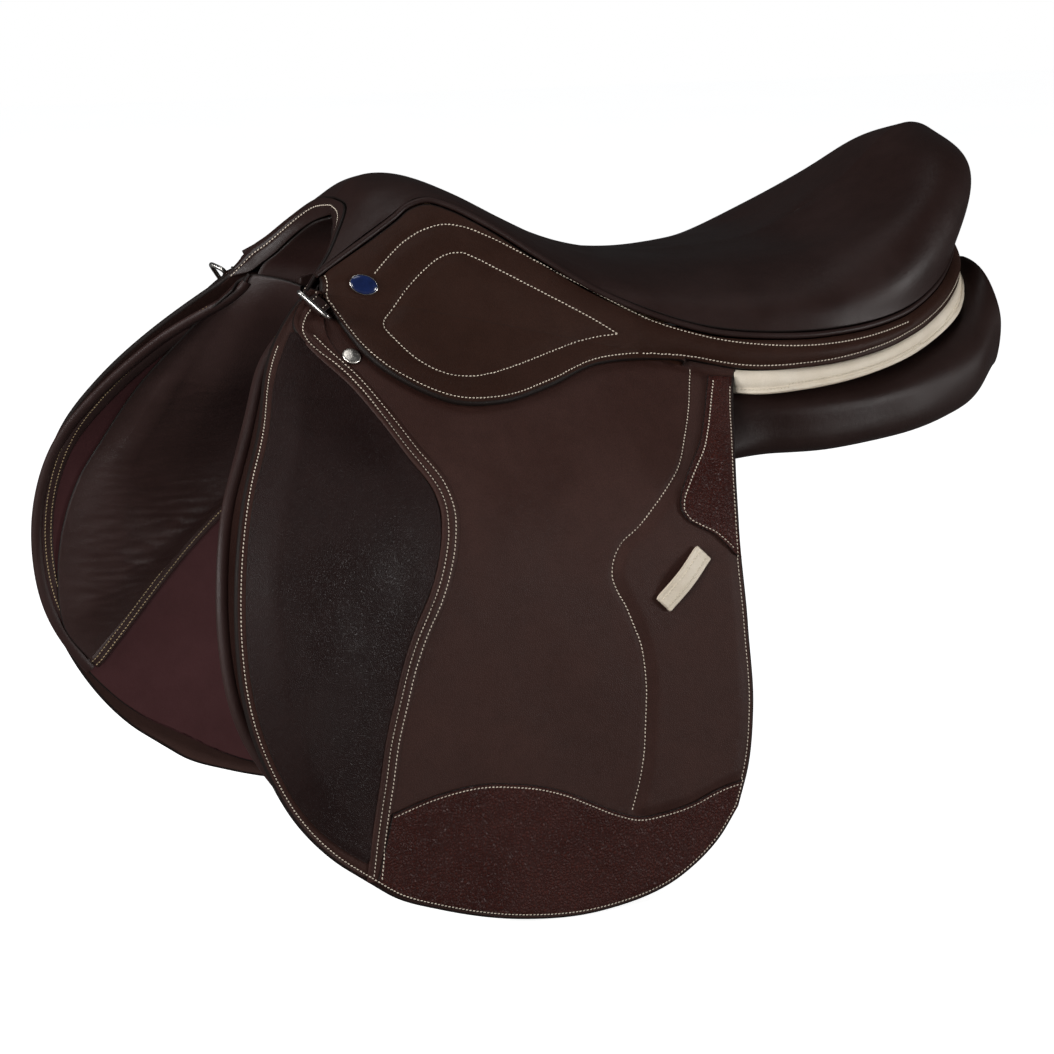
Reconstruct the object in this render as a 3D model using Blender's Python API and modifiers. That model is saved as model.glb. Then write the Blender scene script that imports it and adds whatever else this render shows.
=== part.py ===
"""All-purpose saddle, modelled piece by piece.

X runs from the pommel to the cantle, Z is up, and the rider's left side is at -Y.
Outlines are drawn in millimetres, as (along, up) or (along, half-width, up), for the
left side, and are brought to real size by the three overall sizes below.
"""

import math

import bmesh
import bpy
import numpy as np
from mathutils import Matrix, Vector

# Overall sizes, in metres
SEAT_LENGTH = 0.445     # skirt button to the middle of the cantle
FLAP_SPREAD = 0.189     # middle plane to the outer face of a flap
FLAP_DROP = 0.285       # frame level, under the seat, to the bottom of a flap

# The same three sizes in the drawn outlines, in millimetres
DRAWN_SEAT = 445.0
DRAWN_SPREAD = 189.0
DRAWN_DROP = 285.0

# Leather, padding and metal, in metres
SEAT_LEATHER = 0.0028
SKIRT_LEATHER = 0.0040
FLAP_LEATHER = 0.0045
SWEAT_LEATHER = 0.0030
MARGIN_LEATHER = 0.0030
PATCH_LEATHER = 0.0014
GUSSET_LEATHER = 0.0030
GUSSET_SWELL = 0.0015
WEBBING_THICKNESS = 0.0016
FOAM_THICKNESS = 0.0130
WEB_DEPTH = 0.0120          # webbing crosses the tree where it lies deeper than this
TREE_THICKNESS = 0.0085
HEAD_PLATE_THICKNESS = 0.0030
SPRING_THICKNESS = 0.0018
POINT_PLATE_THICKNESS = 0.0025
WELT_RADIUS = 0.0018
WELT_GAP = 0.0009
WELT_SINK = 0.3             # share of its radius that the piping lies below the cover's face
WELT_LEAD = 0.0029          # extra room where the piping turns onto the pommel
WELT_LEAD_COLUMNS = 4       # columns of the seat over which that room dies away
SKIRT_BULGE = 0.0034
SKIRT_STAND_OFF = 0.0093    # how far out of the bar's root a flat skirt would lie
KNEE_PAD_CROWN = 0.0060
KNEE_BLOCK_THICKNESS = 0.0066
FRONT_PAD_CROWN = 0.0130
PAD_EDGE = 0.0014

# Small parts
BILLET_WIDTH = 0.0250
BILLET_THICKNESS = 0.0035
BILLET_SPACING = 0.0330
BILLET_PIVOT = 18.0         # drawn height that a billet swings about
BILLET_MIDDLE = -45.0       # drawn place of the middle billet
BILLET_ROOM = 0.0018        # free space each side of a billet, for its swing
BILLET_WEB_GAP = 0.00105    # free space behind a billet, for its swing
WEB_BACK_GAP = 0.00065
DEE_LENGTH = 0.0240
DEE_REACH = 0.0120
DEE_WIRE = 0.0015
CHAPE_LENGTH = 0.0130
CHAPE_LEATHER = 0.0010
CHAPE_TAIL = 0.0055
NAIL_RADIUS = 0.0060
BUTTON_RADIUS = 0.0093
BUTTON_FLATTENING = 0.68
BUTTON_LEAN = -20.0         # degrees
BAR_HEIGHT = 0.0095
BAR_THICKNESS = 0.0042
BAR_GAP = 0.0085            # room for a stirrup leather
BAR_ROOM = 0.0009           # from the flap's margin up to the bar
LATCH_LENGTH = 0.0150
LATCH_RADIUS = 0.0042
KEEPER_LENGTH = 0.0430
KEEPER_WIDTH = 0.0135
KEEPER_LEATHER = 0.0022
KEEPER_RISE = 0.0028
NAIL_PLACE = (-227.5, 62)
KEEPER_PLACE = (-43, -76.5)
KEEPER_LEAN = 46.0          # degrees
DEE_PLACE = (-241.5, 88.5)
DEE_LEAN = -62.0            # degrees
DEE_STAND = 55.0            # degrees, how far the ring stands out from the flap at rest

# Clearances between touching pieces
TOUCH = 0.0004
LAYER_GAP = 0.0009
SKIRT_GAP = 0.0014
SPRING_ROOM = 0.0009
BEND_GAP = 0.0010

# The straight line that a flap and the free part of its skirt bend about, as drawn
BEND_FRONT = (-245.0, 63.5, 100.0)
BEND_REAR = (28.0, 121.0, 41.0)
DRAPE_DEPTH_FRONT = 109.0
DRAPE_DEPTH_REAR = 68.0
DRAPE_POWER = 1.2

# Mesh fineness
SEAT_COLUMNS = 27
SEAT_ROWS = 12
FLAP_COLUMNS = 10
FLAP_ROWS = 18

SCALE = np.array([SEAT_LENGTH / DRAWN_SEAT, FLAP_SPREAD / DRAWN_SPREAD, FLAP_DROP / DRAWN_DROP])

COLOURS = {
    "seat_leather": ((0.020, 0.013, 0.011), 0.42, 0.0),
    "skirt_leather": ((0.052, 0.030, 0.021), 0.50, 0.0),
    "flap_leather": ((0.045, 0.027, 0.021), 0.52, 0.0),
    "pad_leather": ((0.030, 0.020, 0.018), 0.46, 0.0),
    "patch_leather": ((0.075, 0.024, 0.018), 0.55, 0.0),
    "cream_leather": ((0.70, 0.64, 0.54), 0.50, 0.0),
    "lining_leather": ((0.045, 0.018, 0.019), 0.48, 0.0),
    "foam": ((0.55, 0.50, 0.40), 0.90, 0.0),
    "wood": ((0.40, 0.26, 0.14), 0.60, 0.0),
    "steel": ((0.50, 0.50, 0.50), 0.35, 1.0),
    "webbing": ((0.55, 0.52, 0.45), 0.85, 0.0),
    "enamel": ((0.02, 0.05, 0.25), 0.25, 0.0),
}


# Collections, materials and objects

def clear_scene():
    for item in list(bpy.data.objects):
        bpy.data.objects.remove(item, do_unlink=True)


def collection(name):
    found = bpy.data.collections.get(name) or bpy.data.collections.new(name)
    if name not in bpy.context.scene.collection.children:
        bpy.context.scene.collection.children.link(found)
    return found


def material(name):
    found = bpy.data.materials.get(name)
    if found:
        return found
    colour, roughness, metallic = COLOURS[name]
    made = bpy.data.materials.new(name)
    made.use_nodes = True
    shader = made.node_tree.nodes["Principled BSDF"]
    shader.inputs["Base Color"].default_value = (*colour, 1.0)
    shader.inputs["Roughness"].default_value = roughness
    shader.inputs["Metallic"].default_value = metallic
    return made


def add_object(name, data, finish, group="all_purpose_saddle"):
    made = bpy.data.objects.new(name, data)
    data.materials.append(material(finish))
    collection(group).objects.link(made)
    return made


def mesh_object(name, points, faces, finish):
    mesh = bpy.data.meshes.new(name)
    mesh.from_pydata([tuple(float(v) for v in p) for p in points], [], faces)
    mesh.validate()
    mesh.shade_smooth()
    mesh.set_sharp_from_angle(angle=math.radians(40))
    return add_object(name, mesh, finish)


def mirrored(source, name):
    """The same piece for the rider's right side, reflected in the middle plane."""
    depsgraph = bpy.context.evaluated_depsgraph_get()
    mesh = bpy.data.meshes.new_from_object(source.evaluated_get(depsgraph))
    mesh.name = name
    mesh.transform(Matrix.Diagonal((1.0, -1.0, 1.0, 1.0)) @ source.matrix_world)
    mesh.flip_normals()
    made = bpy.data.objects.new(name, mesh)
    collection("all_purpose_saddle").objects.link(made)
    return made


def hinge_empty(name, point, parent=None):
    """An empty on a joint's axis that carries the moving pieces."""
    empty = bpy.data.objects.new(name, None)
    empty.empty_display_size = 0.02
    empty.location = point
    collection("joint_axes").objects.link(empty)
    empty.hide_render = True
    bpy.context.view_layer.update()
    if parent:
        carry(parent, [empty])
    return empty


def carry(parent, pieces):
    bpy.context.view_layer.update()
    for piece in pieces:
        piece.parent = parent
        piece.matrix_parent_inverse = parent.matrix_world.inverted()


# Curves and grids

def smooth(points, count, even=True, shares=None):
    """Points on a smooth curve through the given ones, evenly spread along it,
    or with the same share of them between each pair of given ones."""
    p = np.array(points, float)
    if even:
        knots = np.concatenate([[0.0], np.cumsum(np.linalg.norm(np.diff(p, axis=0), axis=1))])
    else:
        knots = np.arange(len(p), dtype=float)
    knots /= knots[-1]
    slope = np.gradient(p, knots, axis=0)
    t = np.linspace(0.0, 1.0, count) if shares is None else shares
    i = np.clip(np.searchsorted(knots, t, side="right") - 1, 0, len(p) - 2)
    span = (knots[i + 1] - knots[i])[:, None]
    s = (t - knots[i])[:, None] / span
    return ((2 * s**3 - 3 * s**2 + 1) * p[i] + (s**3 - 2 * s**2 + s) * span * slope[i]
            + (3 * s**2 - 2 * s**3) * p[i + 1] + (s**3 - s**2) * span * slope[i + 1])


def band(first, second, columns, rows):
    """A grid between two curves: columns along them, rows from one to the other."""
    a = smooth(first, columns + 1)
    b = smooth(second, columns + 1)
    t = np.linspace(0.0, 1.0, rows + 1)[None, :, None]
    return a[:, None, :] * (1 - t) + b[:, None, :] * t


def patch(front, rear, top, bottom, columns, rows):
    """A grid that fills four boundary curves, columns from front to rear."""
    f = smooth(front, rows + 1)[None, :, :]
    r = smooth(rear, rows + 1)[None, :, :]
    t = smooth(top, columns + 1)[:, None, :]
    b = smooth(bottom, columns + 1)[:, None, :]
    u = np.linspace(0.0, 1.0, columns + 1)[:, None, None]
    v = np.linspace(0.0, 1.0, rows + 1)[None, :, None]
    corners = ((1 - u) * (1 - v) * f[:, :1] + u * (1 - v) * r[:, :1]
               + (1 - u) * v * f[:, -1:] + u * v * r[:, -1:])
    return (1 - u) * f + u * r + (1 - v) * t + v * b - corners


def grid_faces(columns, rows, skip=None):
    """Quads of a grid, facing outwards on the left side."""
    faces = []
    for i in range(columns - 1):
        for j in range(rows - 1):
            if skip and skip(i, j):
                continue
            a = i * rows + j
            faces.append((a, a + 1, a + rows + 1, a + rows))
    return faces


def sheet(name, grid, thickness, finish, skip=None, mirror=False):
    """A skin of even thickness behind a grid of outer-face points."""
    columns, rows = grid.shape[:2]
    made = mesh_object(name, grid.reshape(-1, 3), grid_faces(columns, rows, skip), finish)
    if mirror:
        half = made.modifiers.new("both_sides", "MIRROR")
        half.use_axis = (False, True, False)
        half.merge_threshold = 0.0001
    skin = made.modifiers.new("skin", "SOLIDIFY")
    skin.thickness = thickness
    skin.offset = -1.0
    return made


def slab(name, outer, inner, finish):
    """A closed body between an outer and an inner grid of the same shape."""
    columns, rows = outer.shape[:2]
    front = grid_faces(columns, rows)
    count = columns * rows
    back = [tuple(count + v for v in reversed(face)) for face in front]
    ring = [i * rows for i in range(columns)]
    ring += [(columns - 1) * rows + j for j in range(1, rows)]
    ring += [i * rows + rows - 1 for i in range(columns - 2, -1, -1)]
    ring += [j for j in range(rows - 2, 0, -1)]
    rim = []
    for a, b in zip(ring, ring[1:] + ring[:1]):
        rim.append((a, b, count + b, count + a))
    points = np.concatenate([outer.reshape(-1, 3), inner.reshape(-1, 3)])
    return mesh_object(name, points, front + back + rim, finish)


def loft(name, rings, finish):
    """A closed body through rings of points, each end drawn to a middle point."""
    count = rings.shape[1]
    points = np.concatenate([rings.reshape(-1, 3), [rings[0].mean(0), rings[-1].mean(0)]])
    first, last = len(points) - 2, len(points) - 1
    faces = []
    for k in range(len(rings) - 1):
        for j in range(count):
            a, b = k * count + j, k * count + (j + 1) % count
            faces.append((a, b, b + count, a + count))
    for j in range(count):
        nxt = (j + 1) % count
        faces.append((nxt, j, first))
        faces.append((last - 2 - count + 1 + j, last - 2 - count + 1 + nxt, last))
    return mesh_object(name, points, faces, finish)


def wire(name, points, radius, finish, closed=False, fineness=1):
    """A round wire or piping along points."""
    data = bpy.data.curves.new(name, "CURVE")
    data.dimensions = "3D"
    data.bevel_depth = radius
    data.bevel_resolution = fineness
    data.use_fill_caps = not closed
    line = data.splines.new("POLY")
    line.points.add(len(points) - 1)
    for place, point in zip(line.points, points):
        place.co = (*[float(v) for v in point], 1.0)
    line.use_cyclic_u = closed
    bent = bpy.data.objects.new(name, data)
    bpy.context.scene.collection.objects.link(bent)
    bpy.context.view_layer.update()
    mesh = bpy.data.meshes.new_from_object(bent.evaluated_get(bpy.context.evaluated_depsgraph_get()))
    bpy.data.objects.remove(bent, do_unlink=True)
    joined = bmesh.new()
    joined.from_mesh(mesh)
    bmesh.ops.remove_doubles(joined, verts=joined.verts, dist=0.00001)
    joined.to_mesh(mesh)
    joined.free()
    mesh.name = name
    mesh.shade_smooth()
    return add_object(name, mesh, finish)


def turned(name, profile, finish, steps=16):
    """A turned piece about its own Z, its profile drawn from the top down at +X."""
    mesh = bpy.data.meshes.new(name)
    points = [(r, 0.0, z) for r, z in profile]
    mesh.from_pydata(points, [(i, i + 1) for i in range(len(points) - 1)], [])
    made = add_object(name, mesh, finish)
    screw = made.modifiers.new("turn", "SCREW")
    screw.axis = "Z"
    screw.steps = steps
    screw.render_steps = steps
    screw.use_merge_vertices = True
    screw.merge_threshold = 0.0001
    screw.use_normal_calculate = False
    screw.use_smooth_shade = True
    return made


# The surface that the flap lies in

def near(points):
    """Drawn (along, half-width, up) to metres on the left side."""
    p = np.array(points, float) * SCALE
    p[..., 1] *= -1.0
    return p


def bend_share(x):
    return np.maximum((x - BEND_FRONT[0]) / (BEND_REAR[0] - BEND_FRONT[0]), -0.5)


def bend_height(x):
    return BEND_FRONT[2] + (BEND_REAR[2] - BEND_FRONT[2]) * bend_share(x)


def drape_width(x, z):
    """Half-width of the flap's outer face: upright at the bend line, sweeping out
    over the panel and hanging straight below it."""
    share = bend_share(x)
    top = BEND_FRONT[1] + (BEND_REAR[1] - BEND_FRONT[1]) * share
    depth = DRAPE_DEPTH_FRONT + (DRAPE_DEPTH_REAR - DRAPE_DEPTH_FRONT) * share
    drop = np.maximum(bend_height(x) - z, 0.0) / depth
    return top + (DRAWN_SPREAD - top) * np.tanh(drop**DRAPE_POWER)


def drape_slopes(x, z, scale):
    step = 2.0
    slope_x = (drape_width(x + step, z) - drape_width(x - step, z)) / (2 * step)
    slope_z = (drape_width(x, z + step) - drape_width(x, z - step)) / (2 * step)
    return slope_x * scale[1] / scale[0], slope_z * scale[1] / scale[2]


def drape_normal(x, z):
    slope_x, slope_z = drape_slopes(x, z, SCALE)
    normal = np.stack([-slope_x, -np.ones_like(slope_x), -slope_z], -1)
    return normal / np.linalg.norm(normal, axis=-1, keepdims=True)


def straight_across(thickness, x, z, scale=SCALE):
    """The width, along Y, of a layer of this thickness that lies on the drape."""
    slope_x, slope_z = drape_slopes(x, z, scale)
    return thickness * np.sqrt(1.0 + slope_x**2 + slope_z**2)


def on_drape(outline, offset=0.0):
    """Drawn (along, up) points on the drape, moved outwards by a real distance."""
    p = np.array(outline, float)
    x, z = p[..., 0], p[..., 1]
    base = near(np.stack([x, drape_width(x, z), z], -1))
    offset = np.asarray(offset, float)
    return base + drape_normal(x, z) * (offset[..., None] if offset.ndim else offset)


# Outlines, drawn in millimetres on the left side

FLAP_FRONT = [(-245, 99), (-259, 88), (-275, 73), (-296, 49), (-315, 22), (-331, -7),
              (-343, -56), (-344, -91), (-336, -141), (-314, -188), (-277, -228), (-254, -242)]
FLAP_REAR = [(28, 40), (16, 13), (4, -24), (1, -47), (4, -110), (8, -162), (5, -201), (-2, -227)]
FLAP_BOTTOM = [(-254, -242), (-236, -256), (-209, -268), (-155, -282), (-100, -284),
               (-44, -269), (-16, -247), (-2, -227)]
FLAP_TOP = [(-245, 99), (-100, 67.7), (28, 40)]

SWEAT_FRONT = [(-258, 82), (-282, 70), (-303, 47), (-322, 20), (-338, -8), (-350, -56),
               (-351, -91), (-341, -141), (-312, -186), (-272, -222), (-250, -234)]
SWEAT_REAR = [(14, 20), (2, -10), (-6, -40), (-5, -110), (-1, -162), (-4, -196), (-12, -216)]
SWEAT_BOTTOM = [(-250, -234), (-205, -258), (-155, -272), (-100, -274), (-48, -259), (-12, -216)]
SWEAT_TOP = [(-258, 82), (-120, 51), (14, 20)]

KNEE_PAD_FRONT = [(-262, 77), (-291, 45), (-310, 18), (-326, -10), (-337, -56), (-338, -92),
                  (-330, -139), (-309, -184), (-274, -222), (-258, -233)]
KNEE_PAD_REAR = [(-256, 76), (-235, 47), (-213, 7), (-201, -16), (-206, -56), (-223, -91),
                 (-239, -136), (-249, -184), (-256, -231)]
KNEE_BLOCK_FRONT = [(-262, 66), (-286, 44), (-305, 17), (-321, -11), (-333, -56), (-333, -92),
                    (-325, -138), (-304, -178)]
KNEE_BLOCK_REAR = [(-236, 54), (-252, 30), (-266, 2), (-277, -24), (-287, -58), (-287, -95),
                   (-281, -135), (-275, -160)]
FRONT_PAD_FRONT = [(-256, 74), (-282, 60), (-306, 32), (-328, -5), (-341, -52), (-342, -95),
                   (-331, -145), (-307, -180)]
FRONT_PAD_REAR = [(-238, 60), (-236, 44), (-222, 14), (-205, -20), (-196, -56), (-208, -86)]
LOWER_PATCH_TOP = [(-241, -204), (-213, -196), (-179, -192), (-144, -197), (-106, -212),
                   (-73, -225), (-36, -220), (-8, -212)]
LOWER_PATCH_FOOT = [(-246, -240), (-236, -249), (-209, -261), (-155, -275), (-100, -277),
                    (-47, -262), (-20, -242), (-7, -224)]
REAR_PATCH_FRONT = [(7, 38), (-8, 13), (-25, -9), (-39, -29), (-37, -41), (-20, -51), (-5, -65)]
REAR_PATCH_REAR = [(22, 36), (11, 13), (0, -24), (-3, -42), (-3, -48), (-3, -56), (-3, -67)]

BUTTON_PLACE = (-209, 103)
LOBE_FOOT = [(-234.5, 95), (-230, 81), (-218, 59), (-196, 42), (-173, 32), (-142, 30),
             (-104, 37), (-69, 47), (-38, 48.5), (-16, 47.5)]

SKIRT_BEND_SPAN = (-236.0, -16.0)
LOBE_SPAN = (-234.5, -16.0)
MARGIN_SPAN = (-214.0, -10.0)
BULGE_END = 60.0            # drawn place behind the bar where its swell has died away
BULGE_FADE = 100.0
WAIST_FOOT = [(-6, 47.3), (10, 44.2), (28, 41.5)]
TAIL_FOOT = [(75, 133, 41), (127, 131, 47.5), (185, 107, 64.5), (224, 70, 84), (243, 1.2, 98)]
GUSSET_TOP = [(31, 123, 41), (75, 128.3, 41), (127, 126.3, 47.5), (182, 103.4, 65.5), (222, 66.3, 83)]
GUSSET_FOOT = [(31, 129, 26.5), (75, 134, 28), (127, 131, 35.5), (176, 113, 47.5), (212, 93, 65),
               (229, 70, 77)]

# The seat: each row runs from the middle of the seat over its rim to the welt
SEAT_SECTIONS = [
    [(-198, 0, 150), (-200, 25, 147), (-213, 43, 133), (-224, 54, 121), (-233, 61, 113)],
    [(-184, 0, 163), (-184, 25, 157.5), (-184, 39, 149), (-186, 46, 143), (-188, 50, 138)],
    [(-158, 0, 164), (-156, 22, 161.5), (-155, 36, 157.5), (-155, 42, 155.5), (-157, 47, 153)],
    [(-126, 0, 153.5), (-126, 28, 151), (-126, 46, 147), (-126, 54, 144.5), (-126, 60, 141)],
    [(-92, 0, 135.5), (-92, 34, 133), (-92, 58, 127), (-92, 70, 122.5), (-92, 78, 118)],
    [(-40, 0, 114), (-44, 44, 111), (-48, 76, 103), (-50, 89, 97), (-50, 95, 92)],
    [(20, 0, 106), (18, 52, 103), (14, 92, 93), (12, 109, 83.5), (10, 117, 70)],
    [(70, 0, 108), (76, 60, 106), (84, 102, 96), (84, 122, 83), (80, 128.5, 64.5)],
    [(100, 0, 112), (122, 56, 114), (146, 97, 121), (152, 119, 97), (146, 121, 71)],
    [(118, 0, 118), (152, 44, 130), (190, 80, 146.5), (209, 91, 128), (196, 94, 89)],
    [(132, 0, 124), (170, 23, 144), (212, 49, 170.5), (243, 54, 157), (231, 51, 112)],
    [(138, 0, 126), (172, 0, 147), (218, 0, 183.5), (251.5, 0, 168), (241, 0, 118)],
]

# Panel cushion rings: inner top, outer top, outer side, outer bottom, inner bottom
PANEL_STATIONS = [
    (-230, [(34, 99), (55, 87), (72, 60), (87, 35), (50, 68)]),
    (-190, [(34, 97), (58, 80), (86, 45), (108, 13), (47, 66)]),
    (-140, [(32, 86), (64, 68), (101, 30), (125.5, -10), (40, 60)]),
    (-80, [(30, 66), (78, 50), (114.7, 18), (134, -18), (36, 42)]),
    (-20, [(28, 56), (88, 40), (118.6, 11), (131, -18), (34, 25)]),
    (40, [(28, 54), (116, 27), (130, 6), (119, -15), (34, 16)]),
    (100, [(28, 50), (120, 27), (133, 6), (119, -15), (36, 7)]),
    (160, [(28, 54), (112, 35), (127, 14), (113, -9), (38, 10)]),
    (212, [(28, 70), (90, 56), (113, 32), (99, 3.5), (40, 29)]),
    (243, [(34, 85), (70, 77), (91, 50), (80, 22), (48, 48)]),
]
PANEL_STACK = 0.0161        # flap's outer face in to the sweat flap's inner face, as drawn
PANEL_RING = 12
PANEL_CAPS = ((0, -6.0), (-1, 6.0))
PANEL_CAP_SIZE = 0.62
LINING_LIFT = 2.75

# The head plate: half-width with real metres below the top of the pommel, then its feet
HEAD_PLATE_CROWN = [(0, 0.018), (20, 0.021), (30, 0.030)]
HEAD_PLATE_FEET = [(38, 121), (44, 111), (49, 101)]
POMMEL_TOP = 163.0
HEAD_PLATE_SPAN = (-190, -170.8)
BAR_ROOT = (-166, 60.5)     # drawn, along and half-width
BAR_RUN = 78.0
BAR_FALL = 4.0
POINT_PLATE_TOP = [(-170, 34, 134), (-150, 39, 128), (-125, 46, 114), (-97, 54, 92)]
POINT_PLATE_FOOT = [(-170, 57.5, 87), (-150, 58.5, 84), (-125, 59, 80), (-97, 60, 77)]

# The flap margin's inner edge: along, half-width, and real metres below the stirrup bar
MARGIN_TOP = [(-202, 58.2, -0.00185), (-168, 59.4, 0.00255), (-125, 59.8, 0.00565),
              (-96, 61, 0.00715)]
MARGIN_END = (-14, 98, 60)
# A billet's drawn heights, and its share of the full width there
BILLET_OUTLINE = [(24, 0.7), (12, 1), (0, 1), (-14, 1), (-30, 1), (-50, 1), (-80, 1), (-140, 1),
                  (-196, 1), (-206, 0.8), (-212, 0.45)]
WEB_HEIGHTS = [46, 34, 23, 12, 4]
WEB_MARGIN = 11.0           # webbing beyond the outer billets' middles

# Shares of the way along the seat, and from its middle to the welt
TREE_SPAN = (0.06, 0.97)
TREE_EDGE = 0.50
TREE_WINDOW = (0.42, 0.80)
TREE_WINDOW_WIDTH = 0.8     # share of the webbing's width
FOAM_START = 0.12
FOAM_RISE = 0.22
WEB_SPAN = (0.32, 0.90)
WEB_EDGE = 0.30
SPRING_SPAN = (0.34, 0.82)
SPRING_EDGES = (0.36, 0.46)


# The seat and what it is built on

def seat_grid(columns, rows, along=(0.0, 1.0), across=(0.0, 1.0)):
    """Points of the seat's outer face, from pommel to cantle and middle to welt."""
    fine_columns, fine_rows = 121, 61
    sections = np.array(SEAT_SECTIONS, float)
    rings = np.stack([smooth(section, fine_rows, even=False) for section in sections])
    surface = np.stack([smooth(rings[:, j], fine_columns, even=False)
                        for j in range(fine_rows)], 1)
    surface = near(surface)
    i = np.linspace(along[0], along[1], columns) * (fine_columns - 1)
    j = np.linspace(across[0], across[1], rows) * (fine_rows - 1)
    pick = surface[np.rint(i).astype(int)][:, np.rint(j).astype(int)]
    return pick, surface_normals(surface)[np.rint(i).astype(int)][:, np.rint(j).astype(int)]


def surface_normals(surface):
    along = np.gradient(surface, axis=0)
    across = np.gradient(surface, axis=1)
    normal = np.cross(across, along)
    normal /= np.maximum(np.linalg.norm(normal, axis=-1, keepdims=True), 1e-12)
    middle = np.abs(surface[..., 1]) < 1e-6
    normal[middle, 1] = 0.0
    return normal / np.maximum(np.linalg.norm(normal, axis=-1, keepdims=True), 1e-12)


def foam_depth(columns, along):
    """Foam under the cover: none over the pommel, full under the rider."""
    share = np.linspace(along[0], along[1], columns)
    rise = np.clip((share - FOAM_START) / FOAM_RISE, 0.0, 1.0)
    return FOAM_THICKNESS * rise * rise * (3 - 2 * rise)


def build_seat():
    grid, _ = seat_grid(SEAT_COLUMNS, SEAT_ROWS)
    cover = sheet("seat_cover", grid, SEAT_LEATHER, "seat_leather", mirror=True)

    step = 1.0 / (SEAT_COLUMNS - 1)
    first, last = 7, SEAT_COLUMNS - 2
    grid, normal = seat_grid(last - first + 1, 7, (first * step, last * step),
                             (0.0, 6.0 / (SEAT_ROWS - 1)))
    top = grid - normal * (SEAT_LEATHER + LAYER_GAP)
    foam = sheet("seat_foam", top, FOAM_THICKNESS - 2 * LAYER_GAP - WEBBING_THICKNESS,
                 "foam", mirror=True)

    under_foam = SEAT_LEATHER + FOAM_THICKNESS
    grid, normal = seat_grid(14, 4, WEB_SPAN, (0.0, WEB_EDGE))
    web = sheet("seat_webbing", grid - normal * under_foam, WEBBING_THICKNESS, "webbing",
                mirror=True)

    columns, rows = 24, 7
    grid, normal = seat_grid(columns, rows, TREE_SPAN, (0.0, TREE_EDGE))
    depth = SEAT_LEATHER + LAYER_GAP + foam_depth(columns, TREE_SPAN)
    depth = depth + np.where(depth > WEB_DEPTH, WEBBING_THICKNESS + LAYER_GAP, 0.0)
    share = np.linspace(*TREE_SPAN, columns)
    open_from = WEB_EDGE / TREE_EDGE * (rows - 1) * TREE_WINDOW_WIDTH

    def window(i, j):
        return TREE_WINDOW[0] < share[i] < TREE_WINDOW[1] and j < open_from

    tree = sheet("tree", grid - normal * depth[:, None, None], TREE_THICKNESS, "wood",
                 skip=window, mirror=True)
    return [cover, foam, web, tree]


def strip(name, path, width_axis, width, thickness, finish):
    """A flat bar bent along a path, its width along one axis."""
    path = np.array(path, float)
    half = np.array(width_axis, float) * width / 2
    grid = np.stack([path + half, path - half], 1)
    made = mesh_object(name, grid.reshape(-1, 3), grid_faces(len(path), 2), finish)
    skin = made.modifiers.new("thickness", "SOLIDIFY")
    skin.thickness = thickness
    skin.offset = 0.0
    skin.use_even_offset = True
    return made


def build_head_plate():
    middle = 0.5 * (HEAD_PLATE_SPAN[0] + HEAD_PLATE_SPAN[1])
    crown = near([(middle, w, POMMEL_TOP) for w, _ in HEAD_PLATE_CROWN])
    crown[:, 2] -= [depth for _, depth in HEAD_PLATE_CROWN]
    feet = near([(middle, w, z) for w, z in HEAD_PLATE_FEET])
    left = smooth(np.concatenate([crown, feet]), 9)
    right = left[:0:-1] * (1.0, -1.0, 1.0)
    path = np.concatenate([right, left])
    width = (HEAD_PLATE_SPAN[1] - HEAD_PLATE_SPAN[0]) * SCALE[0]
    return strip("head_plate", path, (1, 0, 0), width, HEAD_PLATE_THICKNESS, "steel")


def build_spring():
    """A steel strip under the rail of the tree, which lets the seat give."""
    columns = 12
    grid, normal = seat_grid(columns, 2, SPRING_SPAN, SPRING_EDGES)
    depth = (SEAT_LEATHER + 3 * LAYER_GAP + WEBBING_THICKNESS + TREE_THICKNESS + SPRING_ROOM
             + foam_depth(columns, SPRING_SPAN))
    return sheet("tree_spring_left", grid - normal * depth[:, None, None], SPRING_THICKNESS,
                 "steel")


# Skirt and welt

def skirt_face_offset():
    return SKIRT_GAP + SKIRT_LEATHER


def bar_bulge():
    """How far the skirt swells over the stirrup bar."""
    return BAR_GAP + BAR_THICKNESS - SKIRT_STAND_OFF


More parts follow.
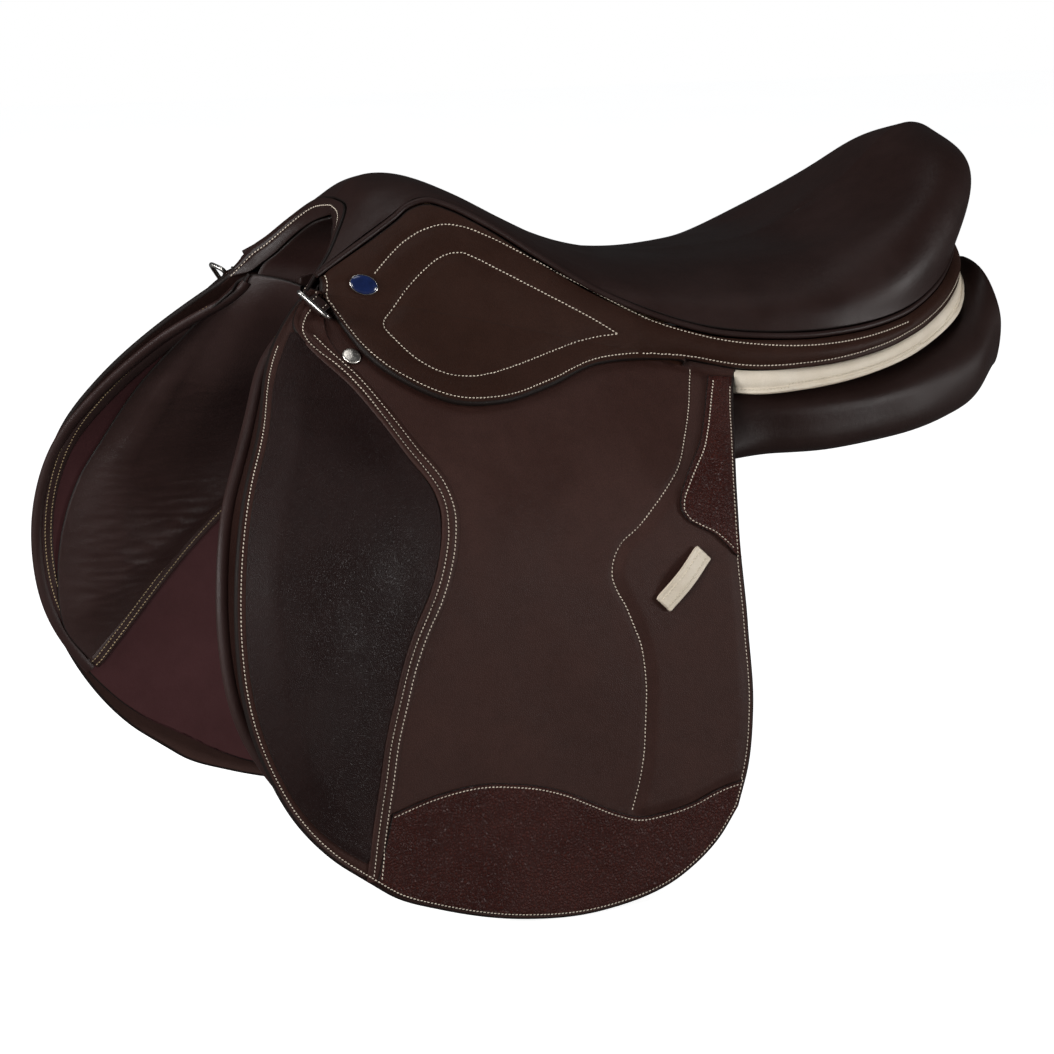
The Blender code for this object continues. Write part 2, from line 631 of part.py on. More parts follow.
def build_skirt():
    face = skirt_face_offset()
    bend_x = np.linspace(*SKIRT_BEND_SPAN, 8)
    fixed_foot = on_drape(np.stack([bend_x, bend_height(bend_x)], -1), face)
    fixed_foot = fixed_foot + (0.0, 0.0, BEND_GAP)
    waist_foot = on_drape(WAIST_FOOT, face)
    foot = np.concatenate([fixed_foot, waist_foot, near(TAIL_FOOT)])
    welt = welt_line()
    run = np.concatenate([[0.0], np.cumsum(np.linalg.norm(np.diff(welt, axis=0), axis=1))])
    foot = smooth(foot, SEAT_COLUMNS, shares=run / run[-1])
    tangent = np.gradient(welt, axis=0)
    tangent /= np.linalg.norm(tangent, axis=1, keepdims=True)
    fall = foot - welt
    fall -= tangent * (fall * tangent).sum(1, keepdims=True)
    top = welt + fall * (WELT_RADIUS + TOUCH) / np.linalg.norm(fall, axis=1, keepdims=True)
    top[-1, 1] = foot[-1, 1]
    t = np.linspace(0.0, 1.0, 5)[None, :, None]
    grid = top[:, None] * (1 - t) + foot[:, None] * t
    outward = np.cross(fall / np.linalg.norm(fall, axis=1, keepdims=True), tangent)
    over_bar = np.clip((BULGE_END - welt[:, 0] / SCALE[0]) / BULGE_FADE, 0.0, 1.0)
    height = SKIRT_BULGE + (bar_bulge() - SKIRT_BULGE) * over_bar
    bulge = np.sin(np.linspace(0, math.pi, grid.shape[1]))[None, :] * height[:, None]
    grid = grid + outward[:, None] * bulge[..., None]
    fixed = sheet("skirt_left", grid, SKIRT_LEATHER, "skirt_leather")

    lobe_x = np.linspace(*LOBE_SPAN, 3)
    lobe_top = np.stack([lobe_x, bend_height(lobe_x) - TOUCH / SCALE[2]], -1)
    lobe_grid = on_drape(band(lobe_top, LOBE_FOOT, 16, 5), face)
    lobe = sheet("skirt_lobe_left", lobe_grid, SKIRT_LEATHER, "skirt_leather")
    return fixed, lobe, grid


def welt_line():
    """The middle of the piping, just beyond the edge of the seat cover."""
    grid, normal = seat_grid(SEAT_COLUMNS, SEAT_ROWS)
    edge = grid[:, -1]
    onward = edge - grid[:, -2]
    onward = onward / np.linalg.norm(onward, axis=1, keepdims=True)
    lead = np.clip(1.0 - np.arange(SEAT_COLUMNS) / WELT_LEAD_COLUMNS, 0.0, 1.0)[:, None] * WELT_LEAD
    return edge + onward * (WELT_RADIUS + WELT_GAP + lead) - normal[:, -1] * WELT_RADIUS * WELT_SINK


def build_welt():
    left = welt_line()
    left[-1, 1] = 0.0
    right = left[-2::-1] * (1.0, -1.0, 1.0)
    return wire("seat_welt", np.concatenate([left, right]), WELT_RADIUS, "seat_leather")


def nearest_on(grid, place):
    """The point of a grid nearest to a place given along and up, and its normal."""
    target = np.array([place[0] * SCALE[0], place[1] * SCALE[2]])
    fine = [smooth(row, 4 * len(row), even=False) for row in grid]
    fine = np.stack([smooth([row[j] for row in fine], 4 * len(fine), even=False)
                     for j in range(len(fine[0]))], 1)
    away = np.linalg.norm(fine[..., (0, 2)] - target, axis=-1)
    i, j = np.unravel_index(np.argmin(away), away.shape)
    return Vector(fine[i, j]), Vector(surface_normals(fine)[i, j])


def build_button(skirt_grid):
    """The oval button through the skirt into the tree."""
    radius = BUTTON_RADIUS
    profile = [(0.0, 0.0026), (radius * 0.6, 0.0022), (radius * 0.93, 0.0010), (radius, 0.0004),
               (radius, -0.0004), (0.0, -0.0004)]
    made = turned("skirt_button_left", profile, "enamel")
    point, out = nearest_on(skirt_grid, BUTTON_PLACE)
    set_on(made, point + out * (2 * TOUCH), out, math.radians(BUTTON_LEAN))
    made.scale = (1.0, BUTTON_FLATTENING, 1.0)
    return made


def build_flap_margin():
    """The nailed top edge of the flap, between the bend line and the tree."""
    x = np.linspace(*MARGIN_SPAN, 5)
    foot = on_drape(np.stack([x, bend_height(x)], -1), -SKIRT_GAP)
    foot = foot + (0.0, 0.0, MARGIN_LEATHER + BEND_GAP)
    top = [under_bar(x, w, room) for x, w, room in MARGIN_TOP] + [near(MARGIN_END)]
    return sheet("flap_margin_left", band(top, foot, 10, 1), MARGIN_LEATHER, "flap_leather")


# Flap group

def build_flap():
    grid = patch(FLAP_FRONT, FLAP_REAR, FLAP_TOP, FLAP_BOTTOM, FLAP_COLUMNS, FLAP_ROWS)
    return sheet("flap_left", on_drape(grid), FLAP_LEATHER, "flap_leather")


def crown_over(columns, rows, edge, height, lean=0.5):
    """Thickness of a pad: thin at its edge, full inside, leaning to one side."""
    u = np.sin(np.linspace(0, math.pi, columns))[:, None] ** 0.6
    v = np.linspace(0, 1, rows)[None, :] ** (math.log(0.5) / math.log(lean))
    return edge + (height - edge) * u * np.sin(v * math.pi) ** 0.8


def build_knee_pad():
    outline = band(KNEE_PAD_FRONT, KNEE_PAD_REAR, 18, 6)
    rise = crown_over(19, 7, PAD_EDGE, KNEE_PAD_CROWN, lean=0.3)
    outer = on_drape(outline, LAYER_GAP + rise)
    inner = on_drape(outline, LAYER_GAP)
    return slab("knee_pad_left", outer[:, ::-1], inner[:, ::-1], "pad_leather")


def build_patches():
    lower = on_drape(band(LOWER_PATCH_TOP, LOWER_PATCH_FOOT, 14, 2), LAYER_GAP + PATCH_LEATHER)
    rear = on_drape(band(REAR_PATCH_FRONT, REAR_PATCH_REAR, 9, 2), LAYER_GAP + PATCH_LEATHER)
    return (sheet("lower_patch_left", lower, PATCH_LEATHER, "patch_leather"),
            sheet("rear_patch_left", rear[:, ::-1], PATCH_LEATHER, "patch_leather"))


def drape_frame(x, z, lean_degrees):
    """A point on the flap with axes along a leaning line, across it and outwards."""
    point = Vector(on_drape([(x, z)])[0])
    out = Vector(drape_normal(np.array([float(x)]), np.array([float(z)]))[0])
    lean = math.radians(lean_degrees)
    along = Vector((math.cos(lean), 0.0, math.sin(lean)))
    along = (along - out * along.dot(out)).normalized()
    return point, along, out.cross(along).normalized(), out


def build_keeper():
    """A short strap sewn down at both ends, for the end of a stirrup leather."""
    point, along, across, out = drape_frame(*KEEPER_PLACE, KEEPER_LEAN)
    rows = []
    for s in np.linspace(-0.5, 0.5, 9):
        rise = KEEPER_RISE * max(math.cos(s * 1.25 * math.pi), 0.0)
        middle = point + along * (s * KEEPER_LENGTH)
        middle = middle + out * (1.5 * TOUCH + KEEPER_LEATHER + rise)
        rows.append([middle + across * (KEEPER_WIDTH / 2 * side) for side in (1, -1)])
    grid = np.array([[tuple(p) for p in row] for row in rows])
    return sheet("keeper_left", grid, KEEPER_LEATHER, "cream_leather")


def set_on(made, point, out, spin=0.0):
    """Stand a turned piece on a surface, its axis along the outward normal."""
    turn = Vector((0.0, 0.0, 1.0)).rotation_difference(out)
    made.rotation_mode = "QUATERNION"
    made.rotation_quaternion = turn @ Matrix.Rotation(spin, 3, "Z").to_quaternion()
    made.location = point


def build_nail():
    point, _, _, out = drape_frame(*NAIL_PLACE, 0)
    r = NAIL_RADIUS
    profile = [(0.0, 0.0030), (r * 0.5, 0.0026), (r * 0.9, 0.0012), (r, 0.0004),
               (r, 0.0), (0.0, 0.0)]
    nail = turned("flap_nail_left", profile, "steel")
    set_on(nail, point + out * (TOUCH + 0.0003), out)
    return nail


def dee_frame():
    return drape_frame(*DEE_PLACE, DEE_LEAN)


def build_dee():
    """A dee in its leather chape, on the front corner of the flap."""
    point, along, across, out = dee_frame()
    lift = DEE_WIRE + TOUCH + CHAPE_LEATHER + LAYER_GAP + TOUCH
    base = point + out * lift
    forward = across if across.x < 0 else -across
    stand = math.radians(DEE_STAND)
    reach = forward * math.cos(stand) + out * math.sin(stand)
    corner = 0.28
    ring = []
    for k in range(24):
        angle = 2 * math.pi * k / 24
        c, s = math.cos(angle), math.sin(angle)
        c = math.copysign(abs(c) ** corner, c) if abs(c) > 1e-9 else 0.0
        s = math.copysign(abs(s) ** corner, s) if abs(s) > 1e-9 else 0.0
        ring.append(base + along * (c * DEE_LENGTH / 2)
                    + reach * (DEE_REACH / 2 * (1 + s)))
    dee = wire("dee_left", [tuple(p) for p in ring], DEE_WIRE, "steel", closed=True)

    room = DEE_WIRE + TOUCH
    leather = CHAPE_LEATHER
    half = CHAPE_LENGTH / 2
    outline = []
    for k in range(7):
        angle = -math.pi / 2 + math.pi * k / 6
        outline.append((math.cos(angle) * (room + leather), math.sin(angle) * (room + leather)))
    inner = [(x * room / (room + leather), y * room / (room + leather)) for x, y in outline]
    tail = CHAPE_TAIL
    top = [(-tail, room + leather)] + outline[::-1] + [(-tail, -(room + leather))]
    hollow = [(-tail, room)] + inner[::-1] + [(-tail, -room)]
    rows = []
    for f, o in top:
        rows.append([base + forward * f + out * o + along * (half * side) for side in (1, -1)])
    back = []
    for f, o in hollow:
        back.append([base + forward * f + out * o + along * (half * side) for side in (1, -1)])
    outer_grid = np.array([[tuple(p) for p in row] for row in rows])
    inner_grid = np.array([[tuple(p) for p in row] for row in back])
    chape = slab("dee_chape_left", outer_grid, inner_grid, "seat_leather")
    return dee, chape, base


# What hangs between the flap and the panel

def build_sweat_flap():
    grid = patch(SWEAT_FRONT, SWEAT_REAR, SWEAT_TOP, SWEAT_BOTTOM, FLAP_COLUMNS, FLAP_ROWS)
    return sheet("sweat_flap_left", on_drape(grid, -sweat_depth()), SWEAT_LEATHER,
                 "lining_leather")


def billet_depth():
    """From the flap's outer face in to a billet's outer face."""
    return FLAP_LEATHER + BILLET_ROOM


def sweat_depth():
    """From the flap's outer face in to the sweat flap's outer face."""
    return billet_depth() + BILLET_THICKNESS + BILLET_WEB_GAP + WEBBING_THICKNESS + WEB_BACK_GAP


def build_knee_block():
    outline = band(KNEE_BLOCK_FRONT, KNEE_BLOCK_REAR, 12, 3)
    room = sweat_depth() - FLAP_LEATHER
    thick = crown_over(13, 4, KNEE_BLOCK_THICKNESS * 0.6, KNEE_BLOCK_THICKNESS)
    base = -sweat_depth() + LAYER_GAP
    outer = on_drape(outline, base + np.minimum(thick, room - 2 * LAYER_GAP))
    return slab("knee_block_left", outer[:, ::-1], on_drape(outline, base)[:, ::-1], "foam")


def build_front_pad():
    outline = band(FRONT_PAD_FRONT, FRONT_PAD_REAR, 10, 6)
    thick = crown_over(11, 7, PAD_EDGE * 2, FRONT_PAD_CROWN)
    base = -(sweat_depth() + SWEAT_LEATHER + LAYER_GAP + TOUCH)
    return slab("front_pad_left", on_drape(outline, base)[:, ::-1],
                on_drape(outline, base - thick)[:, ::-1], "lining_leather")


def billet_centre(index):
    return BILLET_MIDDLE + (index - 1) * BILLET_SPACING / SCALE[0]


def build_billet(name, index):
    centre = billet_centre(index)
    half = BILLET_WIDTH / SCALE[0] / 2
    grid = [[(centre - half * w, z), (centre + half * w, z)] for z, w in BILLET_OUTLINE]
    grid = np.array(grid, float).transpose(1, 0, 2)
    return sheet(name, on_drape(grid, -billet_depth()), BILLET_THICKNESS, "skirt_leather")


def build_billet_webbing():
    first = billet_centre(0) - WEB_MARGIN
    last = billet_centre(2) + WEB_MARGIN
    grid = np.array([[(x, z) for z in WEB_HEIGHTS] for x in np.linspace(first, last, 4)], float)
    depth = billet_depth() + BILLET_THICKNESS + BILLET_WEB_GAP
    return sheet("billet_webbing_left", on_drape(grid, -depth), WEBBING_THICKNESS, "webbing")


def ring_through(points, count):
    """A closed smooth ring through a few control points."""
    p = np.array(points, float)
    doubled = np.concatenate([p[-2:], p, p[:3]])
    fine = smooth(doubled, (len(doubled) - 1) * 20 + 1, even=False)
    fine = fine[40:40 + len(p) * 20]
    step = np.linspace(0, len(fine), count, endpoint=False).astype(int)
    return fine[step]


def build_panel():
    """The flocked cushion that rests on the horse's back."""
    rings = []
    stations = np.array([[(x, *point) for point in ring] for x, ring in PANEL_STATIONS], float)
    outer = stations[:, 1:4]
    stack = straight_across(sweat_depth() + SWEAT_LEATHER, outer[..., 0], outer[..., 2])
    drawn = straight_across(PANEL_STACK, outer[..., 0], outer[..., 2], np.ones(3))
    outer[..., 1] -= (stack - drawn) / SCALE[1]
    along = smooth(stations.reshape(len(stations), -1), 17, even=False).reshape(17, -1, 3)
    for ring in along:
        rings.append(ring_through(ring, PANEL_RING))
    rings = np.array(rings)
    for end, step in PANEL_CAPS:
        cap = rings[end].copy()
        middle = cap.mean(0)
        cap = middle + (cap - middle) * PANEL_CAP_SIZE
        cap[:, 0] = rings[end][:, 0] + step
        rings = np.concatenate([[cap], rings]) if end == 0 else np.concatenate([rings, [cap]])
    return loft("panel_left", near(rings), "seat_leather")


def build_gullet_lining():
    """The leather roof of the channel, sewn between the two cushions."""
    rows = []
    for x, ring in PANEL_STATIONS:
        width, height = ring[0]
        rows.append([(x, 0.0, height + 3.0), (x, width * 0.6, height + 2.6),
                     (x, width + 1.5, height + LINING_LIFT)])
    rows = np.array(rows, float)
    grid = np.stack([smooth(rows[:, j], 17, even=False) for j in range(3)], 1)
    return sheet("gullet_lining", near(grid), WEBBING_THICKNESS, "lining_leather", mirror=True)


def build_gusset():
    """The pale facing between the panel and the tail of the skirt."""
    grid = near(band(GUSSET_TOP, GUSSET_FOOT, 14, 2))
    grid[:, 1, 1] -= GUSSET_SWELL
    return sheet("panel_gusset_left", grid, GUSSET_LEATHER, "cream_leather")


# Stirrup bar

def bar_root():
    """The middle of the bar's front end, just above the flap's nailed margin."""
    x, w = BAR_ROOT
    point = near([(x, w, bend_height(x))])[0]
    point[2] += MARGIN_LEATHER + BEND_GAP + BAR_ROOM + BAR_HEIGHT / 2
    return point


def under_bar(x, w, room):
    """A drawn (along, half-width) place, a real distance below the bar's lower edge."""
    root = bar_root()
    share = max((x - BAR_ROOT[0]) / BAR_RUN, 0.0)
    point = near([(x, w, 0.0)])[0]
    point[2] = root[2] - BAR_FALL * SCALE[2] * share - BAR_HEIGHT / 2 - room
    return point


def build_stirrup_bar():
    """A steel bar folded back along the tree, open at its rear end."""
    front = bar_root()
    start = front + near([(BAR_RUN, 0.0, -BAR_FALL)])[0]
    gap = BAR_GAP + BAR_THICKNESS
    path = [start, front]
    for k in range(1, 5):
        angle = math.pi * k / 5
        path.append(front + np.array([-math.sin(angle) * gap / 2,
                                      -(1 - math.cos(angle)) * gap / 2, 0.0]))
    path.append(front + (0.0, -gap, 0.0))
    path.append(start + (0.0, -gap, 0.0))
    made = strip("stirrup_bar_left", path, (0, 0, 1), BAR_HEIGHT, BAR_THICKNESS, "steel")
    hinge = start + np.array([TOUCH + LATCH_RADIUS, -gap, 0.0])
    return made, hinge


def build_latch(hinge):
    """The safety catch at the end of the bar, lying open in line with it: a plate
    with a round end about its pin."""
    outline = []
    for k in range(9):
        angle = math.pi / 2 + math.pi * k / 8
        outline.append((LATCH_RADIUS * math.cos(angle), LATCH_RADIUS * math.sin(angle)))
    outline += [(LATCH_LENGTH, -LATCH_RADIUS * 0.8), (LATCH_LENGTH + 0.0015, 0.0),
                (LATCH_LENGTH, LATCH_RADIUS * 0.8)]
    half = BAR_THICKNESS * 0.4
    points = [hinge + (x, side * half, z) for side in (-1.0, 1.0) for x, z in outline]
    count = len(outline)
    faces = [tuple(range(count)), tuple(range(2 * count - 1, count - 1, -1))]
    for k in range(count):
        nxt = (k + 1) % count
        faces.append((nxt, k, count + k, count + nxt))
    return mesh_object("bar_latch_left", points, faces, "steel")


def build_point_plate():
    """The steel plate down the side of the tree's head, which carries the bar."""
    grid = near(band(POINT_PLATE_TOP, POINT_PLATE_FOOT, 6, 2))
    return sheet("point_plate_left", grid, POINT_PLATE_THICKNESS, "steel")


def main():
    clear_scene()
    build_seat()
    build_head_plate()
    build_welt()
    build_gullet_lining()
    fixed, lobe, skirt_grid = build_skirt()
    flap = build_flap()
    lower, rear = build_patches()
    dee, chape, dee_point = build_dee()
    bar, latch_point = build_stirrup_bar()
    latch = build_latch(latch_point)
    button = build_button(skirt_grid)
    billets = [build_billet(f"billet_{name}_left", k)
               for k, name in enumerate(("front", "middle", "rear"))]
    flap_pieces = [flap, build_knee_pad(), lower, rear, build_keeper(), build_nail(), chape]
    fixed_pieces = [fixed, button, build_flap_margin(), build_spring(), build_sweat_flap(),
                    build_front_pad(), build_panel(), build_gusset(), build_knee_block(),
                    build_billet_webbing(), build_point_plate(), bar]
    bpy.context.view_layer.update()

    bend = on_drape([(BEND_FRONT[0], BEND_FRONT[2]), (BEND_REAR[0], BEND_REAR[2])],
                    skirt_face_offset())
    left = {"flap": flap_pieces, "skirt_lobe": [lobe], "dee": [dee], "bar_latch": [latch]}
    for piece in fixed_pieces:
        mirrored(piece, piece.name.replace("_left", "_right"))
    for side, sign in (("left", 1.0), ("right", -1.0)):
        flip = np.array([1.0, sign, 1.0])
        groups = left
        billet_pieces = billets
        if side == "right":
            groups = {key: [mirrored(p, p.name.replace("_left", "_right")) for p in pieces]
                      for key, pieces in left.items()}
            billet_pieces = [mirrored(p, p.name.replace("_left", "_right")) for p in billets]
        flap_axis = hinge_empty(f"flap_axis_{side}", bend[0] * flip)
        lobe_axis = hinge_empty(f"skirt_axis_{side}", bend[0] * flip, flap_axis)
        dee_axis = hinge_empty(f"dee_axis_{side}", np.array(dee_point) * flip, flap_axis)
        latch_axis = hinge_empty(f"latch_axis_{side}", latch_point * flip)
        carry(flap_axis, groups["flap"])
        carry(lobe_axis, groups["skirt_lobe"])
        carry(dee_axis, groups["dee"])
        carry(latch_axis, groups["bar_latch"])
        for k, piece in enumerate(billet_pieces):
            pivot = on_drape([(billet_centre(k), BILLET_PIVOT)], -billet_depth())[0] * flip
            carry(hinge_empty(f"billet_axis_{k}_{side}", pivot), [piece])


main()
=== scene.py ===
import math

import bmesh
import bpy
import numpy as np
from mathutils import Matrix, Vector
from mathutils.bvhtree import BVHTree


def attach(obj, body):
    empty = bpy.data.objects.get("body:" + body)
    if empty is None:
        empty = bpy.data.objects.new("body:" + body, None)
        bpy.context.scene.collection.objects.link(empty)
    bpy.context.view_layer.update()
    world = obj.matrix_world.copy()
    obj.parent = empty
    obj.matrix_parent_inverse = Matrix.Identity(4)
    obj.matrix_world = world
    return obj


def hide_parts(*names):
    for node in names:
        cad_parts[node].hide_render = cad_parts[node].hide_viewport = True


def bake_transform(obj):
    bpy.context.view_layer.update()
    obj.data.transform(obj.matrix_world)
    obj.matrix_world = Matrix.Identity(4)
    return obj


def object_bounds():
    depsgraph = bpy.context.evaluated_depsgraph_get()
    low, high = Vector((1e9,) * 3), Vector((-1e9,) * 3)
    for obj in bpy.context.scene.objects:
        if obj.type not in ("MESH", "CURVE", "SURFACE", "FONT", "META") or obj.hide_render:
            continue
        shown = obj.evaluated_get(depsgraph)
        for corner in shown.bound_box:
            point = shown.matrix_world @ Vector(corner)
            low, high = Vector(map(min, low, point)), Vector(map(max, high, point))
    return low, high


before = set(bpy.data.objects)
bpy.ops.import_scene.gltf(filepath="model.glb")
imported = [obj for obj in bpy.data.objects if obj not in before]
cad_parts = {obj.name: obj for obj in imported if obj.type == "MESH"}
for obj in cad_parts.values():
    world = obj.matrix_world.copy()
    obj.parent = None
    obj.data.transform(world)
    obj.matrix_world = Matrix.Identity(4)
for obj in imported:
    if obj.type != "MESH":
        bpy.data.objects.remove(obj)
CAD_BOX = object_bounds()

# The saddle's looks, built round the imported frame. Outlines are in millimetres, as
# (along, up) or (along, half-width, up), for the rider's left side, which is at -Y.
MM = 0.001

# Leather, gaps and padding, in metres, as in the frame
SEAT_LEATHER = 0.0028
SKIRT_LEATHER = 0.0040
FLAP_LEATHER = 0.0045
SWEAT_LEATHER = 0.0030
MARGIN_LEATHER = 0.0030
PATCH_LEATHER = 0.0014
TOUCH = 0.0004
LAYER_GAP = 0.0009
SKIRT_GAP = 0.0014
BEND_GAP = 0.0010
WELT_RADIUS = 0.0018
WELT_GAP = 0.0009
WELT_LEAD = 0.0029
SKIRT_BULGE = 0.0034
SKIRT_FACE = SKIRT_GAP + SKIRT_LEATHER
BILLET_THICKNESS = 0.0035
WEBBING_THICKNESS = 0.0016
BILLET_DEPTH = FLAP_LEATHER + 0.0018
WEB_FACE = BILLET_DEPTH + BILLET_THICKNESS + 0.00105
SWEAT_DEPTH = WEB_FACE + WEBBING_THICKNESS + 0.00065
SWEAT_BACK = SWEAT_DEPTH + SWEAT_LEATHER

# The girth straps, in millimetres
BILLET_MIDDLE = -45.0
BILLET_WIDTH = 25.0
BILLET_SPACING = 33.0
BILLET_ROW = 9.6

# The line that a flap and the free part of its skirt bend about, and the drape under it
BEND_FRONT = (-245.0, 63.5, 100.0)
BEND_REAR = (28.0, 121.0, 41.0)
SPREAD = 189.0
DRAPE_DEPTH = (109.0, 68.0)

# Stitches, and how far the rows run from their edges, in millimetres
PITCH = 2.45
THREAD = 0.36
FLAP_ROW = 3.7
SKIRT_ROW = 4.6
SWEAT_ROWS = (8.2, 12.2)
SWEAT_INSET = 2.8

# The photograph's camera: round to the front and up in degrees, metres off, and its aim
AZIMUTH, ELEVATION, DISTANCE = -25.0, 11.0, 2.5
AIM_RIGHT, AIM_UP = 0.05667, 0.07867
FOCAL_PIXELS, IMAGE_PIXELS = 3750.0, 1054.0
SHARP_ANGLE = 62.0

FLAP_FRONT = [(-245, 99), (-259, 88), (-275, 73), (-296, 49), (-315, 22), (-331, -7),
    (-343, -56), (-344, -91), (-336, -141), (-314, -188), (-278, -230), (-256, -246)]
FLAP_REAR = [(28, 40), (16, 13), (4, -24), (1, -47), (4, -110), (8, -162), (5, -201),
    (-2, -227)]
FLAP_BOTTOM = [(-256, -246), (-237, -258.5), (-209, -269), (-155, -282), (-100, -284),
    (-44, -269), (-16, -247), (-2, -227)]
FLAP_TOP = [(-245, 99), (-100, 67.7), (28, 40)]
SWEAT_FRONT = [(-241.5, 100), (-250, 92.5), (-264, 84), (-284, 69), (-303, 47), (-322, 20),
    (-338, -8), (-350, -56), (-351, -91), (-341, -141), (-312, -186), (-272, -222),
    (-250, -234)]
SWEAT_REAR = [(14, 20), (2, -10), (-6, -40), (-5, -110), (-1, -162), (-4, -196), (-12, -216)]
SWEAT_BOTTOM = [(-250, -234), (-205, -258), (-155, -272), (-100, -274), (-48, -259),
    (-12, -216)]
SWEAT_TOP = [(-241.5, 100), (-222, 78), (-120, 51), (14, 20)]
KNEE_PAD_FRONT = [(-262, 77), (-291, 45), (-310, 18), (-326, -10), (-337, -56), (-338, -92),
    (-330, -139), (-309, -184), (-274, -222), (-258, -233)]
KNEE_PAD_REAR = [(-256, 76), (-235, 47), (-213, 7), (-201, -16), (-206, -56), (-223, -91),
    (-239, -136), (-249, -184), (-256, -231)]
KNEE_WELT = [(-256.5, 73), (-249.7, 63.5), (-235.3, 47), (-223.8, 28.5), (-212, 7), (-200, -13),
    (-198, -23), (-200, -39), (-205, -56), (-212, -73), (-222, -91), (-231, -112), (-238, -136),
    (-244, -159), (-248, -184), (-252, -207), (-256.5, -245)]
KNEE_BLOCK_FRONT = [(-262, 66), (-286, 44), (-305, 17), (-321, -11), (-333, -56), (-333, -92),
    (-325, -138), (-304, -178)]
KNEE_BLOCK_REAR = [(-236, 54), (-252, 30), (-266, 2), (-277, -24), (-287, -58), (-287, -95),
    (-281, -135), (-275, -160)]
# The band behind the knee pad, across and above
KNEE_BAND = [(-1.0, 0.5), (-1.25, 1.6), (-0.9, 2.6), (-0.1, 3.15), (0.8, 3.2), (1.7, 2.8),
    (2.4, 2.2), (3.0, 1.75), (3.6, 2.15), (4.6, 2.45), (5.8, 2.4), (6.9, 2.0), (7.7, 1.35),
    (8.5, 1.3), (9.8, 0.85), (11.2, 0.15), (11.4, -0.5), (5.0, -0.6), (0.0, -0.4)]
# The flap's rounded corner over the top of the knee pad, and the row that turns in it
TAB_FRONT = [(-240.5, 102), (-247.5, 95), (-254.5, 88), (-259.0, 80.5), (-257.3, 73.5),
    (-250.8, 65.2), (-243, 56)]
TAB_REAR = [(-232, 99), (-232.5, 94), (-235, 87), (-237.5, 80), (-238, 73), (-236, 66),
    (-231, 58.5)]
TAB_ROW = [(-236.4, 101.7), (-242.0, 91.8), (-249.6, 85.3), (-253.6, 79.3), (-252.6, 72.1),
    (-247.2, 66.0)]
LOWER_PATCH_TOP = [(-241, -204), (-213, -196), (-179, -192), (-160, -194), (-144, -197),
    (-125, -203), (-106, -212), (-89, -220), (-73, -225), (-56, -224), (-36, -220),
    (-19, -213.5), (-8, -210.5), (0.5, -209)]
LOWER_PATCH_FOOT = [(-251, -246), (-235.5, -255.8), (-208.5, -265.8), (-155, -278.8),
    (-100, -280.8), (-45.5, -266), (-18, -244.7), (-4.2, -226.5)]
REAR_PATCH_FRONT = [(7, 38), (1, 28), (-8, 13), (-16, 1), (-25, -9), (-33, -19), (-39, -29),
    (-40, -35), (-37, -41), (-28, -47), (-20, -51), (-12, -58), (-5, -65)]
REAR_PATCH_REAR = [(24.6, 37.5), (13.2, 12.5), (1.4, -24.4), (-1.2, -42), (-1.3, -48),
    (-1.2, -56), (-1, -67)]
QUILT = [(-2, 43), (-12, 23), (-24, 4), (-34, -11), (-45, -22), (-57, -33), (-70, -44),
    (-82, -52), (-88, -61), (-90, -72), (-87, -81), (-82, -90), (-77, -102), (-72, -115),
    (-69, -132), (-69, -169), (-70, -186), (-73, -203), (-78, -221)]
LOBE_FOOT = [(-234.5, 95), (-230, 81), (-218, 59), (-196, 42), (-173, 32), (-142, 30),
    (-104, 37), (-69, 47), (-38, 48.8), (-16, 47.9), (-6, 47.3)]
TAIL_FOOT = [(75, 133, 41), (127, 131, 47.5), (185, 107, 64.5), (224, 70, 84), (243, 1.2, 98)]
MARGIN_TOP = [(-214, 58.0, 90.6), (-202, 58.2, 89.6), (-168, 59.4, 85.2), (-125, 59.8, 80),
    (-96, 61, 77), (-14, 98, 60)]
# The skirt's inner rows
UPPER_ROW = [(-200.3, 109.1), (-187.7, 119.1), (-175.4, 127.6), (-162.8, 133.6),
    (-148.3, 136.6), (-135.8, 134.6), (-119.3, 127.4), (-93.8, 112.8), (-67.7, 97.2),
    (-41.4, 82.5), (-23.4, 73.6), (-2.4, 66.4), (19.0, 61.0), (40.4, 57.8), (63.2, 55.9),
    (86.5, 55.7), (112.5, 57.5), (135.4, 60.8), (155.7, 64.8)]
TEARDROP = [(-140.7, 119.7), (-148.6, 119.6), (-156.2, 117.3), (-167.8, 110.3), (-179.6, 100.9),
    (-192.1, 88.7), (-201.5, 79.2), (-195.9, 69.6), (-189.0, 61.4), (-179.6, 54.6),
    (-169.1, 50.3), (-156.1, 48.6), (-141.7, 49.3), (-126.4, 51.9), (-110.7, 55.3),
    (-91.4, 60.0), (-75.5, 63.8), (-60.6, 66.4), (-49.6, 67.3)]
TEARDROP_TOP = [(-49.6, 67.3), (-59.6, 74.0), (-73.7, 82.5), (-88.8, 91.1), (-103.8, 99.6),
    (-118.8, 108.1), (-133.7, 116.4), (-140.7, 119.7)]
GUSSET_TOP = [(25, 114, 41.5), (31, 122, 41.2), (75, 128.3, 41), (127, 126.3, 47.5),
    (182, 103.4, 65.5), (222, 66.3, 83), (234, 44, 91.5)]
GUSSET_FOOT = [(25, 121, 26.7), (31, 128, 26.5), (75, 134, 28), (127, 131, 35.5),
    (176, 113, 47.5), (212, 93, 65), (229, 70, 77), (240, 46, 88.5)]
